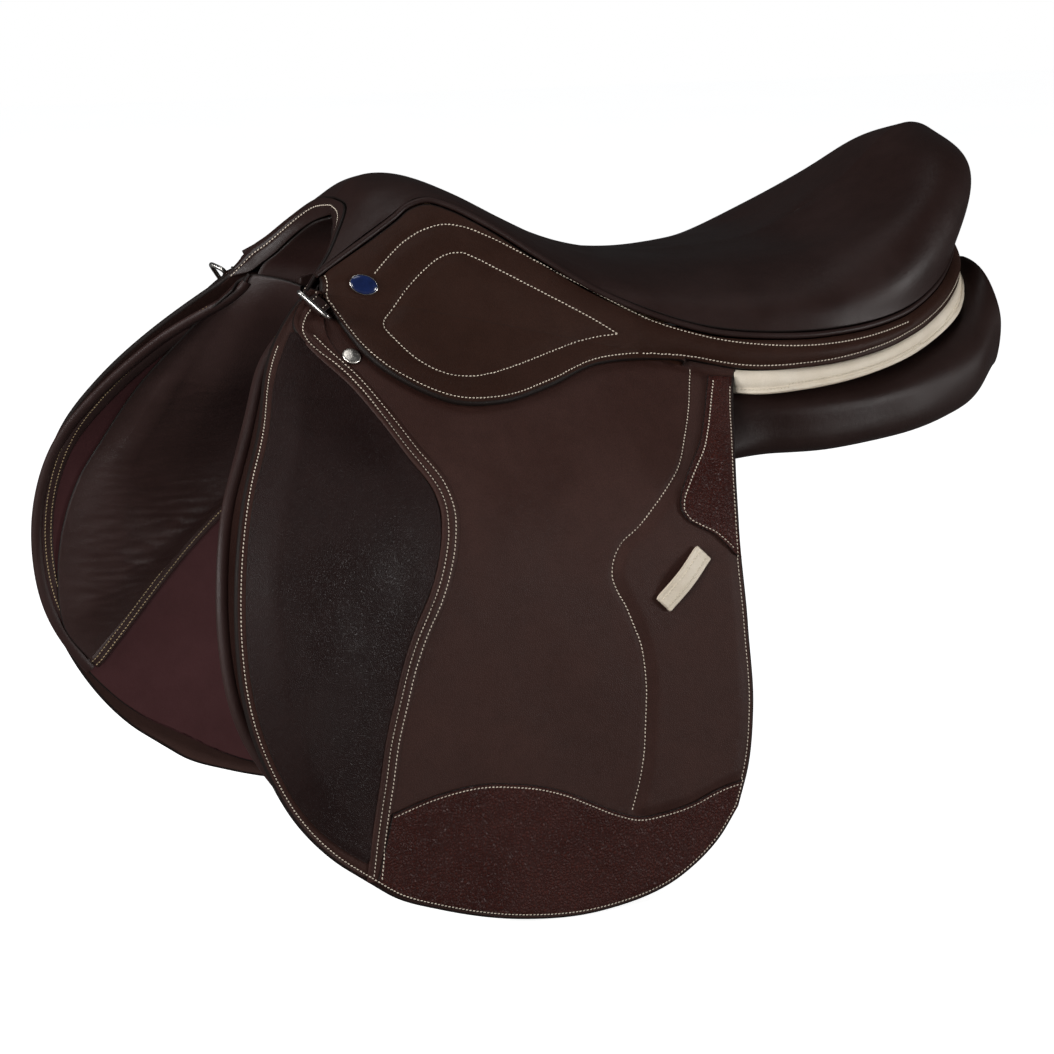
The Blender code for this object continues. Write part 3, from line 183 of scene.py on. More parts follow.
# The padded facing at the front, and where it is sewn to the sweat flap
FACING_FRONT = [(-249.2, 51.8, 87.5), (-264.2, 67.1, 69.9), (-276.1, 88.7, 49),
    (-291.8, 118.8, 18.4), (-307.9, 145.5, -19.3), (-322.2, 157.8, -49.4), (-332.9, 167, -94.6),
    (-334, 169.5, -119.8), (-329.3, 171.3, -153.2), (-307.7, 172.1, -183)]
FACING_REAR = [(-209, 30, 91), (-206, 40, 72), (-202, 57, 50), (-198, 80, 30), (-194, 110, 12),
    (-188, 146, -20), (-184, 160, -46), (-200, 164.5, -68)]
FACING_TOP = [(-249.2, 51.8, 87.5), (-244, 54, 93.5), (-237, 53, 97), (-226, 44, 96.5),
    (-216, 36, 94), (-209, 30, 91)]
FACING_SEAM = [(-309, -180), (-286, -153), (-261, -123), (-239, -98), (-218, -77), (-200, -62)]
SEAT_SECTIONS = [
    [(-198, 0, 150), (-200, 25, 147), (-213, 43, 133), (-224, 54, 121), (-233, 61, 113)],
    [(-184, 0, 163), (-184, 25, 157.5), (-184, 39, 149), (-186, 46, 143), (-188, 50, 138)],
    [(-158, 0, 164), (-156, 22, 161.5), (-155, 36, 157.5), (-155, 42, 155.5), (-157, 47, 153)],
    [(-126, 0, 153.5), (-126, 28, 151), (-126, 46, 147), (-126, 54, 144.5), (-126, 60, 141)],
    [(-92, 0, 135.5), (-92, 34, 133), (-92, 58, 127), (-92, 70, 122.5), (-92, 78, 118)],
    [(-40, 0, 114), (-44, 44, 111), (-48, 76, 103), (-50, 89, 97), (-50, 95, 92)],
    [(20, 0, 106), (18, 52, 103), (14, 92, 93), (12, 109, 83.5), (10, 117, 70)],
    [(70, 0, 108), (76, 60, 106), (84, 102, 96), (84, 122, 83), (80, 128.5, 64.5)],
    [(100, 0, 112), (122, 56, 114), (146, 97, 121), (152, 119, 97), (146, 121, 71)],
    [(118, 0, 118), (152, 44, 130), (190, 80, 146.5), (209, 91, 128), (196, 94, 89)],
    [(132, 0, 124), (170, 23, 144), (212, 49, 170.5), (243, 54, 157), (231, 51, 112)],
    [(138, 0, 126), (172, 0, 147), (218, 0, 183.5), (251.5, 0, 168), (241, 0, 118)]]
PANEL_STATIONS = [
    (-208, [(33, 96), (56, 82), (79, 53), (98, 24), (48, 67)]),
    (-190, [(34, 97), (58, 80), (86, 45), (108, 13), (47, 66)]),
    (-140, [(32, 86), (64, 68), (101, 30), (125.5, -10), (40, 60)]),
    (-80, [(30, 66), (78, 50), (114.7, 18), (134, -18), (36, 42)]),
    (-20, [(28, 56), (88, 40), (118.6, 11), (131, -18), (34, 25)]),
    (40, [(28, 54), (116, 27), (130, 6), (119, -15), (34, 16)]),
    (100, [(28, 50), (120, 27), (133, 6), (119, -15), (36, 7)]),
    (160, [(28, 54), (112, 35), (127, 14), (113, -9), (38, 10)]),
    (212, [(28, 70), (90, 56), (113, 32), (99, 3.5), (40, 29)]),
    (244, [(34, 92), (67, 88), (91, 58), (82, 25), (48, 52)])]
# The lining of the arch and the channel: across from the middle at each station
GULLET_STATIONS = [
    [(-198.5, 0, 138.5), (-204, 12, 135), (-208, 20, 131), (-213.5, 33, 122), (-221, 43, 111.5),
     (-229, 50, 102.5), (-235, 52, 88)],
    [(-175, 0, 133), (-175, 10, 131), (-175, 18, 127), (-175, 26, 118), (-175, 31, 107),
     (-175, 34, 97), (-175, 34.5, 86)],
    [(-140, 0, 112), (-140, 9, 110.5), (-140, 17, 106), (-140, 24, 100), (-140, 29, 94),
     (-140, 32.5, 88), (-140, 33.5, 82)]]
POMMEL_EDGE = [(-249, 66.5, 95), (-240, 63, 104), (-233, 61, 113), (-224, 54, 121),
    (-213, 43, 133), (-200, 25, 147), (-198, 0, 150)]
POMMEL_LINING = [(-248, 58.5, 89.5), (-240, 53, 94), (-231, 50.5, 101.5), (-221.5, 43.5, 110.5),
    (-213.5, 34, 121.5), (-206, 18, 132.5), (-199, 0, 139)]
# How far back the left flap and sweat flap hang at their front edges: (height, back)
FLAP_HANG = [(-240, 0), (-205, 0.4), (-170, 3.2), (-112, 6), (-56, 8.5), (0, 9.5), (30, 8.5),
    (55, 3.5), (72, 0)]
SWEAT_HANG = [(-240, 0), (-208, 2), (-185, 4), (-147, 6.5), (-112, 8), (-55, 9), (0, 7.5),
    (42, 5), (66, 2.5), (84, 0)]


# Curves, grids and the drape, worked as in the frame's own source. A plan is an array
# of (along, up) points in millimetres.

def length_along(points):
    return np.concatenate([[0.0], np.cumsum(np.linalg.norm(np.diff(points, axis=0), axis=1))])


def hermite(knots, values, at):
    """A smooth curve through the values at the knots, read at places between them."""
    slope = np.gradient(values, knots, axis=0)
    i = np.clip(np.searchsorted(knots, at, side="right") - 1, 0, len(knots) - 2)
    wide = (slice(None),) + (None,) * (values.ndim - 1)
    span = (knots[i + 1] - knots[i])[wide]
    s = (at - knots[i])[wide] / span
    return ((2 * s**3 - 3 * s**2 + 1) * values[i] + (s**3 - 2 * s**2 + s) * span * slope[i]
            + (3 * s**2 - 2 * s**3) * values[i + 1] + (s**3 - s**2) * span * slope[i + 1])


def smooth(points, count, even=True, shares=None):
    """Points on a smooth curve through the given ones."""
    p = np.array(points, float)
    knots = length_along(p) if even else np.arange(len(p), dtype=float)
    knots /= knots[-1]
    return hermite(knots, p, np.linspace(0.0, 1.0, count) if shares is None else shares)


def band(first, second, columns, rows):
    a = smooth(first, columns + 1)
    b = smooth(second, columns + 1)
    t = np.linspace(0.0, 1.0, rows + 1)[None, :, None]
    return a[:, None, :] * (1 - t) + b[:, None, :] * t


def fill_in(front, rear, top, bottom):
    """A grid spanned between four edges."""
    u = np.linspace(0.0, 1.0, len(top))[:, None, None]
    v = np.linspace(0.0, 1.0, len(front))[None, :, None]
    f, r, t, b = front[None], rear[None], top[:, None], bottom[:, None]
    corners = ((1 - u) * (1 - v) * f[:, :1] + u * (1 - v) * r[:, :1]
               + (1 - u) * v * f[:, -1:] + u * v * r[:, -1:])
    return (1 - u) * f + u * r + (1 - v) * t + v * b - corners


def patch(front, rear, top, bottom, columns, rows):
    return fill_in(smooth(front, rows + 1), smooth(rear, rows + 1),
                   smooth(top, columns + 1), smooth(bottom, columns + 1))


def near(points):
    """Drawn (along, half-width, up) to metres on the left side."""
    p = np.array(points, float) * MM
    p[..., 1] *= -1.0
    return p


def bend_share(x):
    return np.maximum((x - BEND_FRONT[0]) / (BEND_REAR[0] - BEND_FRONT[0]), -0.5)


def bend_height(x):
    return BEND_FRONT[2] + (BEND_REAR[2] - BEND_FRONT[2]) * bend_share(x)


def on_bend(x):
    return np.stack([x, bend_height(x)], -1)


def drape_width(x, z):
    share = bend_share(x)
    top = BEND_FRONT[1] + (BEND_REAR[1] - BEND_FRONT[1]) * share
    depth = DRAPE_DEPTH[0] + (DRAPE_DEPTH[1] - DRAPE_DEPTH[0]) * share
    drop = np.maximum(bend_height(x) - z, 0.0) / depth
    return top + (SPREAD - top) * np.tanh(drop**1.2)


def drape_normal(plan):
    x, z, step = plan[..., 0], plan[..., 1], 2.0
    slope_x = (drape_width(x + step, z) - drape_width(x - step, z)) / (2 * step)
    slope_z = (drape_width(x, z + step) - drape_width(x, z - step)) / (2 * step)
    return unit(np.stack([-slope_x, -np.ones_like(slope_x), -slope_z], -1))


def on_drape(plan, offset=0.0):
    """A plan laid on the flap's outer face, moved outwards by metres."""
    p = np.array(plan, float)
    base = near(np.stack([p[..., 0], drape_width(p[..., 0], p[..., 1]), p[..., 1]], -1))
    return base + drape_normal(p) * np.asarray(offset, float)[..., None]


def unit(v):
    return v / np.maximum(np.linalg.norm(v, axis=-1, keepdims=True), 1e-12)


def grid_normals(surface):
    return unit(np.cross(np.gradient(surface, axis=1), np.gradient(surface, axis=0)))


def step_up(low, high, value):
    s = np.clip((value - low) / (high - low), 0.0, 1.0)
    return s * s * (3 - 2 * s)


def bell(value, width):
    return np.exp(-0.5 * (value / width) ** 2)


def away(plan, line):
    """Distance from each point of a plan to a polyline."""
    p = plan.reshape(-1, 2)
    line = np.array(line, float)
    best = np.full(len(p), 1e9)
    for s, e in zip(line[:-1], line[1:]):
        d = e - s
        t = np.clip((p - s) @ d / (d @ d), 0, 1)
        best = np.minimum(best, np.hypot(*(p - s - t[:, None] * d).T))
    return best.reshape(plan.shape[:-1])


def inside(plan, outline):
    """True where a plan's points are in a closed outline."""
    x, z = plan[..., 0], plan[..., 1]
    found = np.zeros(x.shape, bool)
    p = np.array(outline, float)
    for a, b in zip(p, np.roll(p, -1, 0)):
        crosses = (a[1] > z) != (b[1] > z)
        with np.errstate(divide="ignore", invalid="ignore"):
            at = (b[0] - a[0]) * (z - a[1]) / (b[1] - a[1]) + a[0]
        found ^= crosses & (x < at)
    return found


def ripple(plan, seed, size):
    """Smooth seeded noise from -1 to 1, over lengths of about size."""
    rng = np.random.default_rng(seed)
    total = np.zeros(plan.shape[:-1])
    for _ in range(9):
        angle = rng.uniform(0, 2 * math.pi)
        wave = 2 * math.pi / (size * rng.uniform(0.7, 1.6))
        total += np.sin((plan[..., 0] * math.cos(angle) + plan[..., 1] * math.sin(angle)) * wave
                        + rng.uniform(0, 2 * math.pi))
    return total / 4.0


def relax(line, share, times):
    """Draws each inner point of a line towards the middle of its neighbours."""
    for _ in range(times):
        line[1:-1] += share * ((line[:-2] + line[2:]) / 2 - line[1:-1])


def offset_line(line, distance):
    """A drawn curve moved to its right-hand side, as seen from outside going down."""
    way = unit(np.gradient(line, axis=0))
    return line + np.stack([-way[:, 1], way[:, 0]], -1) * distance


def both_halves(left):
    """A line from the left side to the middle, and back up the right side."""
    return np.concatenate([left, left[-2::-1] * (1.0, -1.0, 1.0)])


# Meshes

def make_mesh(points, faces, flags=None):
    mesh = bpy.data.meshes.new("piece")
    points = np.asarray(points, float).reshape(-1, 3)
    if isinstance(faces, np.ndarray):
        mesh.vertices.add(len(points))
        mesh.vertices.foreach_set("co", points.ravel())
        mesh.loops.add(faces.size)
        mesh.loops.foreach_set("vertex_index", faces.ravel().astype(np.int32))
        mesh.polygons.add(len(faces))
        mesh.polygons.foreach_set("loop_start", np.arange(0, faces.size, faces.shape[1]))
        mesh.update(calc_edges=True)
    else:
        mesh.from_pydata(points.tolist(), [], faces)
    if flags is not None:
        rim = mesh.attributes.new("rim", "FLOAT", "POINT")
        rim.data.foreach_set("value", np.asarray(flags, np.float32))
    mesh.validate()
    mesh.shade_smooth()
    return mesh


def show(made, finishes, replaces=()):
    for item in finishes:
        made.data.materials.append(item)
    bpy.context.scene.collection.objects.link(made)
    if replaces:
        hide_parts(*replaces)


def place(name, mesh, finish, body, replaces=(), bend=None):
    mesh.name = name
    made = bpy.data.objects.new(name, mesh)
    show(made, finish if isinstance(finish, list) else [finish], replaces)
    mesh.set_sharp_from_angle(angle=math.radians(SHARP_ANGLE))
    if bend:
        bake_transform(made)
    else:
        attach(made, body)


def settle(mesh, hang):
    """Draws the front of a left-hand piece back, as it hangs in the photograph."""
    points = np.empty(len(mesh.vertices) * 3)
    mesh.vertices.foreach_get("co", points)
    points = points.reshape(-1, 3)
    heights, backs = np.array(hang, float).T
    back = hermite(heights, backs, np.clip(points[:, 2] / MM, heights[0], heights[-1]))
    points[:, 0] += np.maximum(back, 0.0) * step_up(-252.0, -312.0, points[:, 0] / MM) * MM
    mesh.vertices.foreach_set("co", points.ravel())
    mesh.update()


def pair(name, mesh, finish, body, replaces=(), bend=None, hang=None):
    """The left piece, and its mirror image on the right."""
    other = mesh.copy()
    other.transform(Matrix.Diagonal((1.0, -1.0, 1.0, 1.0)))
    other.flip_normals()
    if hang:
        mesh = mesh.copy()
        settle(mesh, hang)
    for side, half, sign in (("left", mesh, 1.0), ("right", other, -1.0)):
        place(f"{name}_{side}", half, finish, body.replace("SIDE", side),
              [f"{r}_{side}" for r in replaces],
              bend and [(x, y * sign, z) for x, y, z in bend])


def quads(columns, rows, start=0):
    i, j = np.meshgrid(np.arange(columns - 1), np.arange(rows - 1), indexing="ij")
    a = (start + i * rows + j).ravel()
    return np.stack([a, a + 1, a + rows + 1, a + rows], 1)


def loft(rings, sides, start=0, closed=False, turned=False):
    """Faces round rings of points, with end caps; turned faces them the other way."""
    faces = []
    j = np.arange(sides)
    for k in range(rings if closed else rings - 1):
        a, d = start + k * sides + j, start + (k + 1) % rings * sides + j
        faces += np.stack([a, np.roll(a, -1), np.roll(d, -1), d], 1).tolist()
    if not closed:
        last = start + (rings - 1) * sides
        faces += [list(range(start, start + sides))[::-1], list(range(last, last + sides))]
    return [f[:1] + f[:0:-1] for f in faces] if turned else faces


def boundary(columns, rows, seam):
    """Grid places round the edge; with seam, round the half that isn't joined."""
    if seam:
        return np.array([(i, rows - 1) for i in range(columns - 1, -1, -1)]
                        + [(0, j) for j in range(rows - 2, -1, -1)]
                        + [(i, 0) for i in range(1, columns)])
    return np.array([(i, 0) for i in range(columns)]
                    + [(columns - 1, j) for j in range(1, rows)]
                    + [(i, rows - 1) for i in range(columns - 2, -1, -1)]
                    + [(0, j) for j in range(rows - 2, 0, -1)])


def hide(outer, thickness, normal=None, bulge=0.7, arcs=4, cut=None, lift=None, seam=False,
         clear=0, lined=False):
    """A closed leather body behind a grid of outer-face points, with rounded edges.
    cut marks boundary points whose edge stays square; lift is relief on the outer face;
    with seam the two halves of the last column meet and are joined; clear keeps that many
    inner rows behind the drawn-in edge; lined gives the back its own finish."""
    columns, rows = outer.shape[:2]
    if normal is None:
        normal = grid_normals(outer)
    i, j = boundary(columns, rows, seam).T
    p, n = outer[i, j], normal[i, j]
    inner_i, inner_j = np.clip(i, 1, columns - 2), np.clip(j, 1, rows - 2)
    if seam:
        inner_i = np.where(i == columns - 1, columns - 1, inner_i)
    out = p - outer[inner_i, inner_j]
    along = unit(np.roll(p, -1, 0) - np.roll(p, 1, 0))
    if seam:
        corner = (i != inner_i) & (j != inner_j)
        out = out - n * (out * n).sum(1, keepdims=True)
        out = out - along * (out * along).sum(1, keepdims=True) * (~corner)[:, None]
        out[[0, -1], 1] = 0.0
    else:
        square = np.cross(along, n)
        out = square * np.sign(np.median((square * out).sum(1)))
    out = unit(out)
    round_by = np.full(len(i), bulge)
    if cut is not None:
        round_by[cut(i, j)] = 0.0
    deep = np.broadcast_to(np.asarray(thickness, float), (columns, rows))
    edge_deep = deep[i, j][:, None]
    shift = round_by[:, None] * edge_deep / 2
    base = outer.copy()
    if clear:
        near_edge = np.zeros((columns, rows), bool)
        near_edge[1:clear] = near_edge[-clear:-1] = True
        near_edge[:, 1:clear] = near_edge[:, -clear:-1] = True
        near_edge[[0, -1]] = near_edge[:, [0, -1]] = False
        at = np.argwhere(near_edge)
        for start in range(0, len(at), 2000):
            a, b = at[start:start + 2000].T
            gap = np.linalg.norm(outer[a, b][:, None] - p[None], axis=2)
            closest = gap.argmin(1)
            short = np.maximum(shift[closest, 0] * 1.15 - gap.min(1), 0.0)
            base[a, b] -= out[closest] * short[:, None]
    base[i, j] = p - out * shift
    face = base if lift is None else base + normal * lift[..., None]
    back = base - normal * deep[..., None]
    raised = 0.0 if lift is None else lift[i, j][:, None]
    half = (edge_deep + raised) / 2
    middle = base[i, j] + n * (raised - half)
    angles = [math.pi * k / (arcs + 1) for k in range(1, arcs + 1)]
    rings = [middle + n * half * math.cos(a) + out * shift * math.sin(a) for a in angles]
    count, first = columns * rows, i * rows + j
    points = np.concatenate([face.reshape(-1, 3), back.reshape(-1, 3), *rings])
    faces = [quads(columns, rows), quads(columns, rows, count)[:, ::-1]]
    size = len(faces[0])
    lines = [first] + [2 * count + k * len(i) + np.arange(len(i)) for k in range(arcs)]
    lines.append(count + first)
    for a, b in zip(lines, lines[1:]):
        faces.append(np.stack([a, np.roll(a, -1), np.roll(b, -1), b], 1))
    flags = np.zeros(len(points))
    flags[2 * count:] = 1.0
    flags[first] = flags[count + first] = 0.6
    mesh = make_mesh(points, np.concatenate(faces), flags)
    if lined:
        slots = np.zeros(len(mesh.polygons), np.int32)
        slots[size:2 * size] = 1
        mesh.polygons.foreach_set("material_index", slots)
    if seam:
        work = bmesh.new()
        work.from_mesh(mesh)
        bmesh.ops.remove_doubles(work, verts=work.verts, dist=1e-6)
        work.to_mesh(mesh)
        work.free()
    return mesh


def tube(path, radius, sides=12, closed=False, squash=1.0, up=(0.0, 0.0, 1.0)):
    """A round or oval cord along a path."""
    if closed:
        along = unit(np.roll(path, -1, 0) - np.roll(path, 1, 0))
    else:
        along = unit(np.gradient(path, axis=0))
    side = unit(np.cross(along, np.broadcast_to(up, path.shape)))
    top = np.cross(side, along)
    angle = np.linspace(0, 2 * math.pi, sides, endpoint=False)[None, :, None]
    ring = (side[:, None] * np.cos(angle) + top[:, None] * np.sin(angle) * squash) * radius
    return make_mesh(path[:, None] + ring, loft(len(path), sides, closed=closed, turned=True))


def drape_sweep(line, profile, taper=6, foot=6, base=0.0):
    """A closed strip laid along a drawn curve: profile is (across, above) in millimetres."""
    count = np.arange(len(line))
    grow = np.minimum(1.0, np.minimum(count / taper, count[::-1] / foot) + 0.25)
    grid = np.stack([on_drape(offset_line(line, s), h * MM * grow + base) for s, h in profile], 1)
    return make_mesh(grid, loft(*grid.shape[:2]))


def turned(profile, steps=56, oval=1.0):
    """A turned piece about its own Z, its profile drawn from the top down at +X."""
    angles = [2 * math.pi * k / steps for k in range(steps)]
    points = [(r * math.cos(a) * MM, r * math.sin(a) * MM * oval, z * MM)
              for r, z in profile for a in angles]
    return make_mesh(points, loft(len(profile), steps, turned=True))


def tree_of(*meshes):
    points, faces = [], []
    for mesh in meshes:
        start = len(points)
        points.extend(v.co.copy() for v in mesh.vertices)
        faces.extend([start + v for v in p.vertices] for p in mesh.polygons)
    return BVHTree.FromPolygons(points, faces)


def cast(tree, starts, directions):
    """Where rays from the starts first meet a surface, and its normals there."""
    found, normals = [], []
    for start, way in zip(starts, np.broadcast_to(directions, np.shape(starts))):
        way = Vector(way)
        hit, normal, _, _ = tree.ray_cast(Vector(start), way)
        if hit is not None:
            found.append(hit)
            normals.append(-normal if normal.dot(way) > 0 else normal)
    return np.array(found, float).reshape(-1, 3), np.array(normals, float).reshape(-1, 3)


def on_face(tree, line, inward=False, dense=0.6, even=True):
    """A drawn (along, up) curve laid on a surface, from outside or from the horse's side."""
    line = np.array(line, float)
    line = smooth(line, max(int(length_along(line)[-1] / dense), 4)) if even else line
    starts = np.stack([line[:, 0] * MM, np.full(len(line), -0.002 if inward else -0.4),
                       line[:, 1] * MM], 1)
    return cast(tree, starts, (0, -1, 0) if inward else (0, 1, 0))


def set_down(tree, path):
    """Points set down on a surface, with its normals."""
    found, normals = [], []
    for point in path:
        hit, normal, _, _ = tree.find_nearest(Vector(point))
        found.append(hit)
        normals.append(normal if normal.y < 0 or abs(normal.y) < 0.2 else -normal)
    found, normals = np.array(found, float), np.array(normals, float)
    for _ in range(3):
        normals[1:-1] = (normals[:-2] + normals[1:-1] + normals[2:]) / 3
    return found, unit(normals)


def stitches(rows, pitch=PITCH, length=1.72, radius=THREAD, slant=10.0, lift=0.12):
    """Slanted stitches along rows: each row is a path in metres and its normals."""
    share, full = np.array([-1.0, -0.55, 0.55, 1.0]), np.array([0.35, 1.0, 1.0, 0.35])
    sides, reach = 5, 0.0006
    angle = np.arange(sides) * 2 * math.pi / sides + 0.3
    lean = math.radians(slant)
    points, faces = [], []
    for path, normals in rows:
        if len(path) < 3:
            continue
        run = length_along(path)
        count = max(int(run[-1] / (pitch * MM)), 1)
        at = (np.arange(count) + 0.5) * run[-1] / count

        def read(values, ahead=0.0):
            return np.stack([np.interp(at + ahead, run, values[:, k]) for k in range(3)], 1)

        normal = unit(read(normals))
        along = read(path, reach) - read(path, -reach)
        along = unit(along - normal * (along * normal).sum(1, keepdims=True))
        side = np.cross(normal, along)
        along, side = (along * math.cos(lean) + side * math.sin(lean),
                       side * math.cos(lean) - along * math.sin(lean))
        centre, along, side, normal = (a[:, None, None] for a in (read(path), along, side, normal))
        start = sum(map(len, points))
        for k in range(count):
            faces += loft(4, sides, start + k * 4 * sides)
        points.append((
            centre + along * (share * length / 2 * MM)[:, None, None]
            + (side * np.cos(angle)[:, None] + normal * np.sin(angle)[:, None])
            * (full * radius * MM)[:, None, None]
            + normal * ((lift - 0.3 * share**2) * MM)[:, None, None]).reshape(-1, 3))
    return make_mesh(np.concatenate(points), faces)


# Materials

class Finish:
    """A material, with short names for making and joining its nodes."""

    def __init__(self, name):
        self.made = bpy.data.materials.new(name)
        self.made.use_nodes = True
        self.tree = self.made.node_tree
        self.bsdf = self.tree.nodes["Principled BSDF"]
        self.place = self.node("ShaderNodeTexCoord").outputs["Object"]

    def put(self, socket, value):
        if isinstance(value, bpy.types.NodeSocket):
            self.tree.links.new(value, socket)
        else:
            socket.default_value = value

    def node(self, kind, inputs=None, **settings):
        made = self.tree.nodes.new(kind)
        for key, value in settings.items():
            setattr(made, key, value)
        for key, value in (inputs or {}).items():
            self.put(made.inputs[key], value)
        return made

    def set(self, **values):
        for key, value in values.items():
            self.put(self.bsdf.inputs[key.replace("_", " ")], value)

    def noise(self, scale, detail=3.0, rough=0.5, vector=None):
        made = self.node("ShaderNodeTexNoise", {"Vector": vector or self.place, "Scale": scale,
                                                "Detail": detail, "Roughness": rough})
        return made.outputs["Fac"]

    def span(self, value, low, high, to_low=0.0, to_high=1.0, kind="SMOOTHSTEP"):
        return self.node("ShaderNodeMapRange",
                         {"Value": value, "From Min": low, "From Max": high,
                          "To Min": to_low, "To Max": to_high},
                         interpolation_type=kind).outputs["Result"]

    def sum(self, operation, first, second=0.0):
        return self.node("ShaderNodeMath", {0: first, 1: second}, operation=operation).outputs[0]

    def mix(self, share, first, second):
        made = self.node("ShaderNodeMix", {"Factor": share}, data_type="RGBA")
        for key, value in (("A", first), ("B", second)):
            socket = [s for s in made.inputs if s.name == key and s.type == "RGBA"][0]
            self.put(socket, value if isinstance(value, bpy.types.NodeSocket) else (*value, 1.0))
        return [s for s in made.outputs if s.type == "RGBA"][0]

    def bump(self, height, depth, before=None, strength=1.0):
        made = self.node("ShaderNodeBump",
                         {"Strength": strength, "Distance": depth * MM, "Height": height})
        if before is not None:
            self.put(made.inputs["Normal"], before)
        return made.outputs["Normal"]

    def shades(self, tone, colour, darker):
        """Colour varying by tone, from a darker shade of it."""
        self.set(Base_Color=self.mix(tone, tuple(c * darker for c in colour), colour))


def leather(name, dark, light, grain, depth, roughness, specular=0.22, crease=0.35,
            rim=(0.012, 0.008, 0.007)):
    """Grained leather: cells of about grain millimetres with creases between them, a
    slow change of colour, pores, and darker painted edges."""
    w = Finish(name)
    cells = 1000.0 / grain
    spread = w.node("ShaderNodeTexNoise", {"Vector": w.place, "Scale": cells * 0.6})
    warped = w.node("ShaderNodeVectorMath",
                    {0: spread.outputs["Color"], 1: (grain * MM * 0.45,) * 3, 2: w.place},
                    operation="MULTIPLY_ADD")
    cell = w.node("ShaderNodeTexVoronoi", {"Vector": warped.outputs[0], "Scale": cells},
                  feature="DISTANCE_TO_EDGE").outputs["Distance"]
    creased = w.span(cell, 0.0, 0.22, 1.0, 0.0)
    slow = w.span(w.noise(14.0, 3.0, 0.55), 0.35, 0.65)
    patchy = w.span(w.noise(90.0, 2.0), 0.3, 0.7)
    tone = w.sum("ADD", w.sum("MULTIPLY", slow, 0.65), w.sum("MULTIPLY", patchy, 0.35))
    colour = w.mix(w.sum("MULTIPLY", creased, crease), w.mix(tone, dark, light),
                   tuple(c * 0.45 for c in dark))
    edge = w.node("ShaderNodeAttribute", attribute_name="rim").outputs["Fac"]
    fine = w.sum("MULTIPLY", w.noise(2600.0, 2.0, 0.6), 0.25)
    height = w.sum("ADD", w.span(cell, 0.0, 0.30), fine)
    w.set(Base_Color=w.mix(w.span(edge, 0.35, 0.95), colour, rim),
          Roughness=w.sum("ADD", w.span(slow, 0, 1, roughness - 0.08, roughness + 0.08, "LINEAR"),
                          w.sum("MULTIPLY", creased, 0.08)),
          Normal=w.bump(w.noise(260.0, 2.0), 0.25, w.bump(height, depth), 0.5),
          Specular_IOR_Level=specular)
    return w.made


def thread(name, colour):
    w = Finish(name)
    tone = w.span(w.noise(1500.0, 2.0), 0.3, 0.7)
    w.shades(tone, colour, 0.78)
    w.set(Normal=w.bump(w.noise(3500.0, 1.0), 0.12), Roughness=w.span(tone, 0, 1, 0.62, 0.78))
    return w.made


def metal(name, colour, roughness, brushed=0.0):
    w = Finish(name)
    w.shades(w.span(w.noise(220.0, 3.0), 0.3, 0.7), colour, 0.86)
    w.set(Metallic=1.0, Roughness=w.span(w.noise(900.0, 3.0), 0.3, 0.7, roughness * 0.8,
                                         roughness * 1.25))
    if brushed:
        radius = w.node("ShaderNodeVectorMath", {0: w.place}, operation="LENGTH").outputs["Value"]
        rings = w.sum("SINE", w.sum("MULTIPLY", radius, 2 * math.pi / 0.00022))
        tangent = w.node("ShaderNodeTangent", direction_type="RADIAL", axis="Z")
        w.set(Normal=w.bump(rings, brushed), Anisotropic=0.75, Tangent=tangent.outputs["Tangent"])
    else:
        w.set(Normal=w.bump(w.noise(1800.0, 2.0), 0.004))
    return w.made


def cloth(name, colour, pitch):
    """Woven webbing."""
    w = Finish(name)
    split = w.node("ShaderNodeSeparateXYZ", {0: w.place}).outputs
    weave = w.sum("MULTIPLY", *(w.sum("SINE", w.sum("MULTIPLY", split[axis],
                                                    2 * math.pi / (pitch * MM)))
                                for axis in ("X", "Z")))
    w.shades(w.span(weave, -1, 1, 0.55, 1.0), colour, 0.6)
    w.set(Normal=w.bump(weave, 0.15), Roughness=w.span(w.noise(700.0), 0.3, 0.7, 0.78, 0.92))
    return w.made


def enamel(name, dark, light):
    w = Finish(name)
    w.set(Base_Color=w.mix(w.span(w.noise(160.0, 2.0), 0.3, 0.7), dark, light),
          Roughness=w.span(w.noise(500.0), 0.3, 0.7, 0.16, 0.22),
          Coat_Weight=0.6, Coat_Roughness=0.08)
    return w.made


def timber(name, dark, light):
    w = Finish(name)
    grain = w.node("ShaderNodeVectorMath", {0: w.place, 1: (0.12, 1.0, 1.0)}, operation="MULTIPLY")
    lines = w.noise(420.0, 4.0, 0.6, grain.outputs[0])
    tone = w.span(lines, 0.3, 0.7)
    w.set(Base_Color=w.mix(tone, dark, light), Roughness=w.span(tone, 0, 1, 0.60, 0.48),
          Normal=w.bump(lines, 0.15))
    return w.made


SEAT = leather("seat_hide", (0.0175, 0.0078, 0.0065), (0.0235, 0.0108, 0.0092), 0.55, 0.025,
               0.40, 0.25, crease=0.12)
SKIRT = leather("skirt_hide", (0.0245, 0.0090, 0.0053), (0.0325, 0.0122, 0.0074), 1.0, 0.07,
                0.47, 0.14)
FLAP = leather("flap_hide", (0.0365, 0.0152, 0.0118), (0.0485, 0.0208, 0.0163), 1.15, 0.085,
               0.50, 0.15)
FLESH = leather("flesh_side", (0.0360, 0.0155, 0.0120), (0.0470, 0.0205, 0.0160), 0.8, 0.06,
                0.72, crease=0.15)
PAD = leather("knee_pad_hide", (0.0130, 0.0056, 0.0050), (0.0185, 0.0082, 0.0073), 0.95, 0.12,
              0.36, 0.16)
PATCH = leather("patch_hide", (0.0400, 0.0088, 0.0064), (0.0600, 0.0145, 0.0104), 2.0, 0.50,
                0.40, 0.18, crease=0.7)
CREAM = leather("cream_hide", (0.66, 0.57, 0.45), (0.78, 0.70, 0.585), 0.9, 0.05, 0.42,
                crease=0.10, rim=(0.62, 0.53, 0.42))
